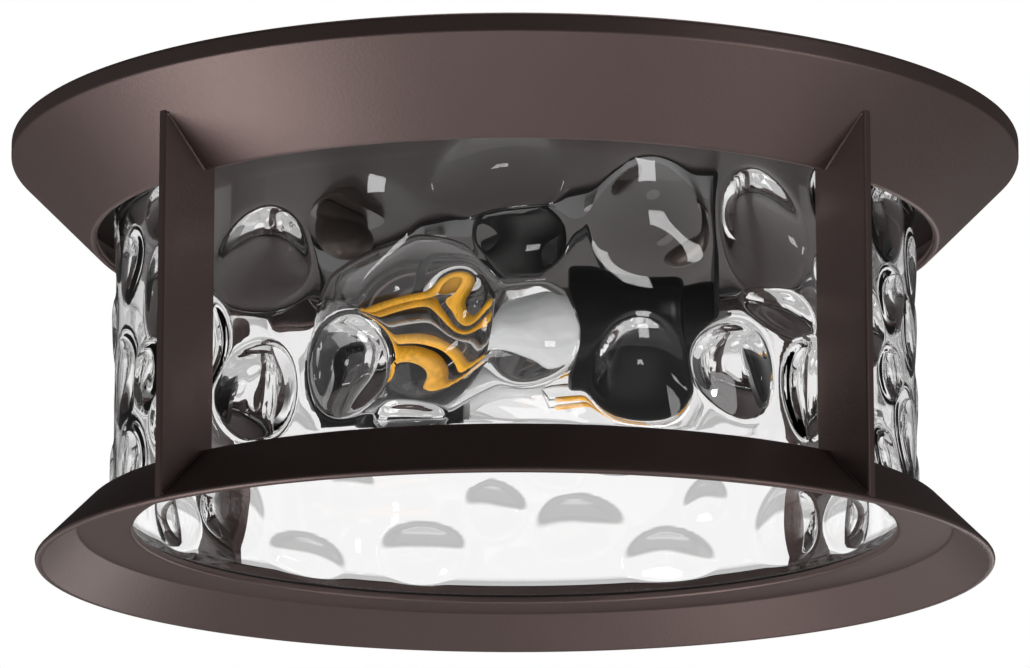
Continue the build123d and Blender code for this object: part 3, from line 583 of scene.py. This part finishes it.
def castBeads(c):
    # a thin round bead where a fin's sides meet the cone and the flare: both run at 45 degrees, so a
    # bead's height falls or rises by as much as its radius
    beads = []
    reach = np.array([c["finIn"], c["finOut"]])
    onCone = -c["bandHeight"] - (c["rimRadius"] - reach)
    onFlare = -c["height"] + c["ringRim"] - reach
    for angle in np.radians(c["finAngles"]):
        out = np.array([math.cos(angle), math.sin(angle), 0.0])
        across = np.array([-out[1], out[0], 0.0])
        for side in (-1, 1):
            foot = out * reach[:, None] + across * side * (c["finThick"] / 2)
            for height in (onCone, onFlare):
                start, end = foot + np.outer(height, (0.0, 0.0, 1.0))
                beads.append(rodMesh(f"bead{len(beads)}", start, end, c["bead"],
                                     "cagePaint", "fixture", c["beadSides"]))
    return joinMeshes("castBeads", beads)


skirt = joinMeshes("cageSkirt", [turnSkirt(cage)] + turnBosses(cage))
standFor(skirt, "upper_skirt")
ring = turnRing(cage)
standFor(ring, "bottom_ring")
beads = castBeads(cage)
print("cage turned")


# Glass: a cylinder that is thick in pebble-shaped blobs, most of it on the inside, and thin between
glass = {
    "radius": 131.4, "wall": 4.5, "low": -125.2, "high": -24.0, "edgeRound": 1.2,
    "aroundSteps": 640, "upSteps": 68, "edgeSteps": 5,
    "outerSink": 1.2,  # how far the outside falls in between the blobs
    "innerSink": 1.1,  # how far the inside falls back between the blobs
    "swellIn": 3.0,  # how far a full blob stands in from the plain inside
    "fade": 5.0,  # height over which all of this fades out at the rims
    "blend": 0.06,  # softness of a blob's foot
    "join": 3.0,  # power of the mean that joins neighbours
    "wobbleTwo": 0.045, "wobbleThree": 0.05, "wobbleSeed": 7,
}
# angle from the front in degrees (right is plus), height, half width, half height,
# share of full height, flatness of the crown, tilt in degrees, how far the crown leans to its top
placedBlobs = [
    (-37.6, -63.0, 19.5, 17.5, 0.60, 2.1, 0.0, 0.9), (-21.5, -58.0, 18.5, 19.0, 0.16, 2.0, 8.0, 0.9),
    (-2.1, -41.0, 20.5, 15.0, 0.50, 2.2, 0.0, 0.5), (18.9, -56.5, 20.5, 20.5, 0.38, 2.0, 0.0, 0.9),
    (36.8, -54.0, 17.5, 20.0, 0.80, 2.2, 0.0, 0.6), (-11.8, -85.6, 23.0, 25.5, 0.52, 2.0, 0.0, -0.6),
    (-23.0, -99.0, 14.5, 16.0, 0.90, 2.4, 0.0, 0.3), (2.0, -91.0, 14.2, 17.5, 0.34, 2.0, 0.0, 0.0),
    (17.5, -103.0, 17.5, 17.0, 0.75, 2.2, 0.0, 0.75), (31.7, -98.5, 14.8, 15.5, 0.95, 2.4, 0.0, 0.3),
    (44.6, -100.5, 10.5, 16.0, 0.90, 2.4, 0.0, 0.2), (-38.6, -104.0, 16.0, 16.5, 0.95, 2.4, 0.0, 0.4),
    (-47.5, -85.6, 9.0, 13.5, 0.75, 2.6, 0.0, 0.0), (40.0, -78.0, 14.5, 7.0, 0.40, 2.2, -12.0, 0.6),
    (-14.5, -117.5, 11.0, 5.5, 0.45, 2.4, 0.0, 0.0), (0.6, -62.2, 15.0, 15.0, 0.32, 2.0, -12.0, 0.0),
    (-8.0, -81.5, 10.8, 12.3, 0.50, 2.0, 0.0, 0.0),
    (-165.5, -111.5, 14.5, 11.0, 0.80, 2.2, 0.0, 0.3), (-176.8, -95.5, 10.5, 10.5, 0.75, 2.0, 0.0, 0.2),
    (-154.0, -90.0, 9.0, 7.0, 0.30, 2.2, 0.0, 0.4), (170.2, -102.0, 15.5, 11.5, 0.85, 2.0, -10.0, 0.2),
    (155.5, -114.0, 16.0, 9.5, 0.75, 2.2, 8.0, 0.3), (149.3, -96.0, 8.5, 8.0, 0.55, 2.0, 0.0, 0.3),
    (-146.5, -117.0, 16.5, 8.0, 0.50, 2.4, 12.0, 0.4), (133.8, -108.0, 14.0, 15.0, 0.95, 2.4, 20.0, 0.3),
    (-131.5, -104.0, 15.5, 14.0, 0.95, 2.4, 0.0, 0.3), (119.5, -112.0, 14.0, 11.0, 0.85, 2.4, 0.0, 0.3),
    (-118.0, -112.0, 14.0, 11.0, 0.85, 2.4, 0.0, 0.3),
]
# the other blobs: ranges that their sizes and shapes are drawn from
spread = {
    "seed": 41, "tries": 7000,
    "lowMargin": 9.0, "highMargin": 10.0,  # room under and over a blob's middle
    "size": (9.5, 18.0), "squat": (0.7, 1.05), "share": (0.85, 1.1), "flatness": (2.3, 3.4),
    "tilt": (-35.0, 35.0), "toTop": (0.2, 0.8),
    "frontFree": 50.0, "backFree": 143.0, "backTop": -78.0,  # kept for the placed blobs
    "spacing": 0.93,  # share of two blobs' sizes that their middles are apart
}


def spreadBlobs(given, g, s):
    # the rest of the wall is filled by trying seeded places and keeping those that stand clear
    source = np.random.default_rng(s["seed"])
    kept = np.array(given)
    for _ in range(s["tries"]):
        angle = source.uniform(-180.0, 180.0)
        height = source.uniform(g["low"] + s["lowMargin"], g["high"] - s["highMargin"])
        size = source.uniform(*s["size"])
        turn = (angle - kept[:, 0] + 180.0) % 360.0 - 180.0
        run = np.hypot(np.radians(turn) * g["radius"], height - kept[:, 1])
        apart = np.all(run >= (size + (kept[:, 2] + kept[:, 3]) / 2) * s["spacing"])
        free = abs(angle) > s["frontFree"] and (abs(angle) < s["backFree"] or height > s["backTop"])
        if apart and free:
            kept = np.vstack([kept, [
                angle, height, size, size * source.uniform(*s["squat"]),
                size / s["size"][1] * source.uniform(*s["share"]), source.uniform(*s["flatness"]),
                source.uniform(*s["tilt"]), source.uniform(*s["toTop"])]])
    return kept


def blobField(angle, height, blobs, g):
    # a blob is 1 - d^flatness times 1 + lean x height above its middle, where d is its tilted elliptic
    # distance, wobbled by two and three waves around it so that it is a pebble; its foot is eased by a
    # soft maximum with 0, neighbours are joined by a power mean, and all fade out towards the rims
    source = np.random.default_rng(g["wobbleSeed"])
    field = np.zeros(np.broadcast(angle, height).shape)
    for centre, middle, halfWide, halfHigh, share, flatness, tilt, toTop in blobs:
        turn = (angle - centre + 180.0) % 360.0 - 180.0
        run, rise = np.radians(turn) * g["radius"], height - middle
        lean = math.radians(tilt)
        across = (run * math.cos(lean) + rise * math.sin(lean)) / halfWide
        up = (rise * math.cos(lean) - run * math.sin(lean)) / halfHigh
        about = np.arctan2(up, across)
        two, three = source.uniform(0.0, 2 * np.pi, 2)
        wobble = (1.0 + g["wobbleTwo"] * np.cos(2 * about + two)
                  + g["wobbleThree"] * np.cos(3 * about + three))
        distance = np.clip(np.hypot(across, up) * wobble, 0.0, 3.0)  # no blob reaches three half sizes
        crown = np.logaddexp(0.0, (1.0 - distance ** flatness) / g["blend"])
        crown = crown * (1.0 + toTop * np.clip(up, -1.0, 1.0))
        field += (share * g["blend"] * crown) ** g["join"]
    ends = np.clip(np.minimum(height - g["low"], g["high"] - height) / g["fade"], 0.0, 1.0)
    ends = ends * ends * (3.0 - 2.0 * ends)
    return np.minimum(field ** (1.0 / g["join"]), 1.0) * ends, ends


def blowGlass(g, blobs):
    # section outline (radius, height) with quarter circles at its corners, carried round Z: between the
    # blobs both walls sink into the glass, and a blob swells the inner wall
    outer, inner, r = g["radius"], g["radius"] - g["wall"], g["edgeRound"]
    low, high = g["low"], g["high"]
    height = np.linspace(low + r, high - r, g["upSteps"])
    quarter = np.linspace(0, np.pi / 2, g["edgeSteps"])[1:-1]
    c, s = r * np.cos(quarter), r * np.sin(quarter)
    outside = np.stack([np.full_like(height, outer), height], axis=1)
    topOut = np.stack([outer - r + c, high - r + s], axis=1)
    flatTop = np.array([[outer - r, high], [inner + r, high]])
    topIn = np.stack([inner + r - s, high - r + c], axis=1)
    inside = np.stack([np.full_like(height, inner), height[::-1]], axis=1)
    lowIn = np.stack([inner + r - c, low + r - s], axis=1)
    flatLow = np.array([[inner + r, low], [outer - r, low]])
    lowOut = np.stack([outer - r + s, low + r - c], axis=1)
    walls = (outside, topOut, flatTop, topIn, inside, lowIn, flatLow, lowOut)
    section = np.vstack(walls)
    onOutside = np.concatenate([np.full(len(wall), float(wall is outside)) for wall in walls])
    onInside = np.concatenate([np.full(len(wall), float(wall is inside)) for wall in walls])
    degreesRound = np.linspace(-180.0, 180.0, g["aroundSteps"], endpoint=False)[:, None]
    field, ends = blobField(degreesRound, section[:, 1], blobs, g)
    sink = g["outerSink"] * (ends - field) * onOutside
    swell = (g["swellIn"] * field - g["innerSink"] * (ends - field)) * onInside
    radius = section[:, 0] - sink - swell
    points = aroundZ(radius, section[:, 1], np.radians(degreesRound - 90.0))
    return addPiece("blownGlass", points, "cylinderGlass", "fixture")


allBlobs = spreadBlobs(placedBlobs, glass, spread)
blown = blowGlass(glass, allBlobs)
standFor(blown, "glass_cylinder")
print("glass blown, blobs:", len(allBlobs))


# Lamps: each lies along X; s runs from the bulb's tip to the socket, r is the distance from its axis
lamp = {
    "drop": 70.0, "offset": 42.0, "tip": -64.0,  # the axis's place, and the tip's on X
    "ball": 30.0, "glassWall": 0.8, "neckTurn": 58.0, "neckRadius": 12.4, "capStart": 79.0,
    "neckEnd": 82.5, "ballSteps": 48, "neckSteps": 30, "steps": 96,
}


def lampSpace(place, along, radial, turn):
    # (s, r, turn) of a lamp as X, Y, Z
    side = 1.0 if place == "front" else -1.0
    x = side * (lamp["tip"] + along)
    y = -side * lamp["offset"] + radial * np.cos(turn)
    z = -lamp["drop"] + radial * np.sin(turn)
    return np.stack(np.broadcast_arrays(x, y, z), axis=-1)


def turnOnLamp(name, place, outline, finish, body, closed=True, steps=lamp["steps"]):
    # outline (s, r) carried round a lamp's axis
    return addPiece(name, lampSpace(place, *outline.T, fullTurn(steps)), finish, body, closed)


def bulbOutline(wall):
    # most of a round ball, then an arc that starts in line with it and ends at the neck
    turn = math.radians(lamp["neckTurn"])
    ball = lamp["ball"] - wall
    sweep = np.linspace(math.pi, turn, lamp["ballSteps"])
    head = np.stack([lamp["ball"] + ball * np.cos(sweep), ball * np.sin(sweep)], axis=1)
    start = head[-1]
    end = np.array([lamp["capStart"], lamp["neckRadius"] - wall])
    normal = np.array([math.cos(turn), math.sin(turn)])
    run = end - start
    radius = (run @ run) / (2 * (run @ normal))
    centre = start + normal * radius
    first = math.atan2(*(start - centre)[::-1])
    last = math.atan2(*(end - centre)[::-1])
    bend = np.linspace(first, last, lamp["neckSteps"])[1:]
    neck = centre + radius * np.stack([np.cos(bend), np.sin(bend)], axis=1)
    tail = np.array([[lamp["neckEnd"], lamp["neckRadius"] - wall]])
    return np.vstack([head, neck, tail])


def blowBulb(place):
    # outer outline and the inner one back, carried round the lamp's axis
    outline = np.vstack([bulbOutline(0.0), bulbOutline(lamp["glassWall"])[::-1]])
    bulb = turnOnLamp(f"{place}BulbGlass", place, outline, "bulbGlass", f"{place}_bulb", closed=False)
    standFor(bulb, f"{place}_bulb_glass")
    return bulb


cap = {
    "lip": (79.0, 79.15), "threadRun": (79.5, 97.2), "threadSteps": 74, "coneRun": (98.6, 100.1),
    "threadPitch": 3.629, "crest": 13.0, "root": 12.25, "sheet": 0.4,
    "crestAt": 84.0, "crestShape": 0.8,  # where a crest starts, and how full the crests are
    "threadFrom": 83.2, "threadTo": 97.4, "threadFade": 1.2, "sleeveTo": 83.6, "sleeveFade": 0.6,
    "coneFrom": 97.2, "coneLength": 2.9, "coneEnd": 10.0,
    "lipTo": 79.1, "lipIn": 0.15, "neckTo": 82.6, "neckGap": 0.1, "leastWall": 0.2,
}


def makeCap(place, c):
    # sleeve, helical thread whose radius swings once per pitch and turn, and a cone to the contact
    turn = fullTurn(lamp["steps"])
    along = np.concatenate([c["lip"], np.linspace(*c["threadRun"], c["threadSteps"]), c["coneRun"]])
    wave = 0.5 + 0.5 * np.cos(2 * np.pi * (along - c["crestAt"]) / c["threadPitch"] + turn)
    gate = (np.clip((along - c["threadFrom"]) / c["threadFade"], 0, 1)
            * np.clip((c["threadTo"] - along) / c["threadFade"], 0, 1))
    sleeve = np.clip((c["sleeveTo"] - along) / c["sleeveFade"], 0, 1)
    radius = c["root"] + (c["crest"] - c["root"]) * np.maximum(wave ** c["crestShape"] * gate, sleeve)
    cone = np.clip((along - c["coneFrom"]) / c["coneLength"], 0, 1)
    radius = radius * (1 - cone) + c["coneEnd"] * cone
    radius = np.where(along < c["lipTo"], c["crest"] - c["lipIn"], radius)
    inner = np.where(along < c["neckTo"], lamp["neckRadius"] + c["neckGap"], radius - c["sheet"])
    inner = np.minimum(inner, radius - c["leastWall"])
    both = np.concatenate([radius, inner[:, ::-1]], axis=1)
    points = lampSpace(place, np.concatenate([along, along[::-1]]), both, turn)
    piece = addPiece(f"{place}BulbCap", points, "rolledCap", f"{place}_bulb")
    standFor(piece, f"{place}_bulb_cap")


filament = {
    "count": 4, "firstAngle": 45.0, "tipAlong": 18.0, "tipSpread": 4.0, "baseSpread": 9.0,
    "length": 34.0, "radius": 0.9, "bare": 1.0,  # how much of a stick's end has no coat
    "endRadius": 0.42, "endOut": 1.2, "endIn": 1.6,  # its metal end, outwards and into the coat
    "wireRadius": 0.3, "wireStart": 0.6, "wireSides": 8,
    "stemTip": 54.5, "rootIn": 0.8, "rootSpread": 1.6,  # where the wires enter the stem
    "rodRadius": 0.6, "rodBack": 1.0, "rodSides": 10,
    "discRadius": 4.8, "discThick": 0.8, "discBevel": (0.25, 0.3), "discSteps": 32,
}


def makeFilaments(place, f):
    # four coated sticks that spread from the tip's disc to the stem, with bare metal ends
    body = f"{place}_bulb"
    baseAlong = f["tipAlong"] + math.sqrt(f["length"] ** 2 - (f["baseSpread"] - f["tipSpread"]) ** 2)
    rootAlong = f["stemTip"] + f["rootIn"]
    sticks, supports = [], []

    def addMetal(name, start, end, radius, sides=f["wireSides"]):
        # one bare rod or wire
        supports.append(rodMesh(f"{place}{name}", start, end, radius, "supportWire", body, sides))

    for number in range(f["count"]):
        angle = math.radians(f["firstAngle"] + number * 360.0 / f["count"])
        tip = lampSpace(place, f["tipAlong"], f["tipSpread"], angle)
        base = lampSpace(place, baseAlong, f["baseSpread"], angle)
        root = lampSpace(place, rootAlong, f["rootSpread"], angle)
        axis = (base - tip) / np.linalg.norm(base - tip)
        sticks.append(rodMesh(f"{place}Stick{number}", tip + axis * f["bare"],
                              base - axis * f["bare"], f["radius"], "filamentCoatWithPaintedGlow", body))
        addMetal(f"End{number}a", tip - axis * f["endOut"], tip + axis * f["endIn"], f["endRadius"])
        addMetal(f"End{number}b", base - axis * f["endIn"], base + axis * f["endOut"], f["endRadius"])
        addMetal(f"Wire{number}", base + axis * f["wireStart"], root, f["wireRadius"])
    thick, radius, (bevelAlong, bevelIn) = f["discThick"], f["discRadius"], f["discBevel"]
    disc = np.array([[0.0, 0.0], [0.0, radius - bevelIn], [bevelAlong, radius],
                     [thick - bevelAlong, radius], [thick, radius - bevelIn], [thick, 0.0]])
    disc[:, 0] += f["tipAlong"] - f["radius"] - thick
    supports.append(turnOnLamp(f"{place}Disc", place, disc, "supportWire", body, False, f["discSteps"]))
    addMetal("Rod", lampSpace(place, f["tipAlong"] - f["rodBack"], 0.0, 0.0),
             lampSpace(place, rootAlong, 0.0, 0.0), f["rodRadius"], f["rodSides"])
    standFor(joinMeshes(f"{place}BulbFilaments", sticks), f"{place}_bulb_filaments")
    standFor(joinMeshes(f"{place}BulbSupports", supports), f"{place}_bulb_supports")


stem = {
    # corners (s, r) of the flare, the neck and the tip, and back on the inside, and their radii
    "corners": ((82.4, 10.4), (82.4, 11.4), (81.6, 11.4), (74.0, 6.2), (68.5, 4.5), (54.6, 3.2),
                (54.5, 0.0), (59.5, 0.0), (60.0, 2.3), (69.0, 3.5), (74.6, 5.2)),
    "rounds": (0, 0.3, 0.3, 6.0, 8.0, 1.2, 0, 0, 0.8, 8.0, 5.0), "roundSteps": 8,
}
socket = {
    "mouth": 81.0, "bore": 13.58, "radius": 20.0, "barrel": 36.0, "baseRadius": 15.0, "base": 10.0,
    "tailBore": 4.95, "tailDepth": 6.0, "rounds": (0, 1.5, 4.0, 1.0, 0.6, 0.2, 0.2, 0),
    # steps of the cavity's floor, from the mouth inwards
    "floor": ((27.3, 0.0), (27.3, 8.5), (22.8, 8.5), (22.8, 13.58)), "steps": 128,
}


def makeStem(place, s):
    # closed outline of the flared glass stem, carried round the lamp's axis
    outline = roundedOutline(s["corners"], s["rounds"], steps=s["roundSteps"], closed=False)
    piece = turnOnLamp(f"{place}BulbStem", place, outline, "stemGlass", f"{place}_bulb")
    standFor(piece, f"{place}_bulb_stem")


def makeSocket(place, s):
    # outline of the barrel and its base, and back through the tail's bore and the cavity
    mouth = s["mouth"]
    end = mouth + s["barrel"]
    tail = end + s["base"]
    corners = [
        (mouth, s["bore"]), (mouth, s["radius"]), (end, s["radius"]), (end, s["baseRadius"]),
        (tail, s["baseRadius"]), (tail, s["tailBore"]), (tail - s["tailDepth"], s["tailBore"]),
        (tail - s["tailDepth"], 0.0),
    ]
    outline = np.vstack([
        roundedOutline(corners, s["rounds"], closed=False),
        np.array(s["floor"]) + np.array([mouth, 0.0]),
    ])
    piece = turnOnLamp(f"{place}SocketBody", place, outline, "socketPhenolic", "fixture",
                       steps=s["steps"])
    standFor(piece, f"{place}_socket_body")


bulbs = []
for place in ("front", "back"):
    bulbs.append(blowBulb(place))
    makeCap(place, cap)
    makeFilaments(place, filament)
    makeStem(place, stem)
    makeSocket(place, socket)
print("lamps made")


# Ball nuts: a turned ball with its collar and blind bore
ballNut = {
    "ball": 5.6, "collar": 4.4, "collarHeight": 1.6, "top": -23.0, "bore": 2.13, "depth": 8.0,
    "reach": 54.0,  # from the light's middle to each nut
    "edge": 0.3, "root": 0.4, "ballSteps": 40, "steps": 72,
}


def turnBallNut(side, n):
    # outline from the bore's floor, up the bore, down the collar and round the ball to its lowest point
    top, foot = n["top"], n["top"] - n["collarHeight"]
    centre = foot - math.sqrt(n["ball"] ** 2 - n["collar"] ** 2)
    sweep = np.linspace(math.asin((foot - centre) / n["ball"]), -math.pi / 2, n["ballSteps"])
    ball = np.stack([n["ball"] * np.cos(sweep), centre + n["ball"] * np.sin(sweep)], axis=1)
    neck = np.array([
        [0.0, top - n["depth"]], [n["bore"], top - n["depth"]], [n["bore"], top - n["edge"]],
        [n["bore"] + n["edge"], top], [n["collar"] - n["edge"], top], [n["collar"], top - n["edge"]],
        [n["collar"], foot + n["root"]],
    ])
    nut = turnPiece(f"{side}BallNut", np.vstack([neck, ball]), "ballNutPaint",
                    f"{side}_nut", n["steps"], False)
    shift = -n["reach"] if side == "left" else n["reach"]
    nut.data.transform(Matrix.Translation((shift * mm, 0.0, 0.0)))
    standFor(nut, f"{side}_ball_nut")


for side in ("left", "right"):
    turnBallNut(side, ballNut)
print("ball nuts turned")


# Insulation: a loose fibre mat on the pan
mat = {
    "inner": 66.0, "outer": 128.0, "low": -20.8, "high": -12.9, "inset": 1.0,
    "rounds": (0.8, 0.8, 2.8, 2.8), "roundSteps": 6, "steps": 240,
    "topSteps": 24, "topEdge": 5.0, "topClear": 4.0, "topBand": 0.3,  # fine rows of its flat top
    "ruffle": 0.7, "dip": 0.55, "waveShare": 0.34,  # depth, its mean, and how far the waves change it
    "wander": (0.55, 3.0, 5), "around": (23, 0.11), "fine": (0.6, 41, 0.31),  # the waves' rates
}


def layMat(m):
    # rounded outline with a finely divided top, carried round Z; its height dips by the product of a
    # wave along the radius and one around the ring, plus a finer one around it
    turn = fullTurn(m["steps"])
    inner, outer = m["inner"] + m["inset"], m["outer"] - m["inset"]
    outline = roundedOutline(
        [(inner, m["low"]), (outer, m["low"]), (outer, m["high"]), (inner, m["high"])],
        m["rounds"], steps=m["roundSteps"])
    onTop = np.linspace(m["outer"] - m["topEdge"], m["inner"] + m["topEdge"], m["topSteps"])
    between = ((outline[:, 0] > m["inner"] + m["topClear"])
               & (outline[:, 0] < m["outer"] - m["topClear"]))
    outline = outline[~between]
    middle = (m["inner"] + m["outer"]) / 2
    joint = int(np.argmax((outline[:, 1] > m["high"] - m["topBand"]) & (outline[:, 0] < middle)))
    flat = np.stack([onTop, np.full_like(onTop, m["high"])], axis=1)
    outline = np.vstack([outline[:joint], flat, outline[joint:]])
    radius, height = outline.T
    alongRate, swing, swingRate = m["wander"]
    aroundRate, twist = m["around"]
    fineShare, fineRate, fineTwist = m["fine"]
    wave = (np.sin(radius * alongRate + swing * np.sin(swingRate * turn))
            * np.sin(aroundRate * turn + radius * twist)
            + fineShare * np.sin(fineRate * turn - radius * fineTwist))
    lift = np.clip((height - m["low"]) / (m["high"] - m["low"]), 0, 1)
    height = height - m["ruffle"] * lift * (m["dip"] + m["waveShare"] * wave)
    pad = addPiece("fibreMat", aroundZ(radius, height, turn), "matFibre", "fixture")
    standFor(pad, "insulation_pad")


layMat(mat)
print("mat laid")


# Floor: only for the light that it returns; the camera sees it as white
def layFloor(setup):
    # a square of white paper seen from above only: a view from below looks through it. The camera and
    # clear glass see a share of plain white, which for glass falls with the distance from the light
    half, drop = setup["floorSize"] / 2, -setup["floorDrop"]
    corners = [(-half, -half, drop), (half, -half, drop), (half, half, drop), (-half, half, drop)]
    mesh = bpy.data.meshes.new("studioFloor")
    mesh.from_pydata(corners, [], [[0, 1, 2, 3]])
    paper, tree, shader, out = openMaterial("floorPaper")
    tone = setup["floorTone"]
    setInputs(shader, {"Base Color": (tone, tone, tone, 1.0), "Roughness": setup["floorRough"]})
    path = nodeIn(tree, "LightPath", (-400, 400))
    geometry = nodeIn(tree, "NewGeometry", (300, 500))
    either = nodeIn(tree, "Math", (-200, 400), operation="MAXIMUM")
    share = nodeIn(tree, "Math", (0, 400), {1: setup["floorWhite"]}, operation="MULTIPLY")
    away = nodeIn(tree, "VectorMath", (-600, -300), operation="LENGTH")
    dimmed = nodeIn(tree, "MapRange", (-400, -300),
                    dict(zip(("From Min", "From Max", "To Min", "To Max"), setup["floorDim"])))
    strength = nodeIn(tree, "Math", (-200, -300), operation="MAXIMUM")
    white = nodeIn(tree, "Emission", (0, -300))
    mix = nodeIn(tree, "MixShader", (300, 200))
    unseen = nodeIn(tree, "BsdfTransparent", (300, 0))
    oneSided = nodeIn(tree, "MixShader", (550, 200))
    wire(tree,
         (geometry, "Position", away, 0), (away, "Value", dimmed, "Value"),
         (dimmed, 0, strength, 0), (path, "Is Camera Ray", strength, 1),
         (strength, 0, white, "Strength"),
         (path, "Is Camera Ray", either, 0), (path, "Is Transmission Ray", either, 1),
         (either, 0, share, 0), (share, 0, mix, 0), (shader, 0, mix, 1), (white, 0, mix, 2),
         (geometry, "Backfacing", oneSided, 0), (mix, 0, oneSided, 1), (unseen, 0, oneSided, 2),
         (oneSided, 0, out, "Surface"))
    mesh.materials.append(paper)
    floor = bpy.data.objects.new("studioFloor", mesh)
    scene.collection.objects.link(floor)


def linkWindows(rows, pieces):
    # the window lamps light these pieces and no others
    glinting = bpy.data.collections.new("glinting")
    for piece in pieces:
        glinting.objects.link(piece)
    for name, *_ in rows:
        bpy.data.objects[name].light_linking.receiver_collection = glinting


layFloor(studioSetup)
linkWindows(windowLamps, [blown] + bulbs)
print("floor laid and windows linked")
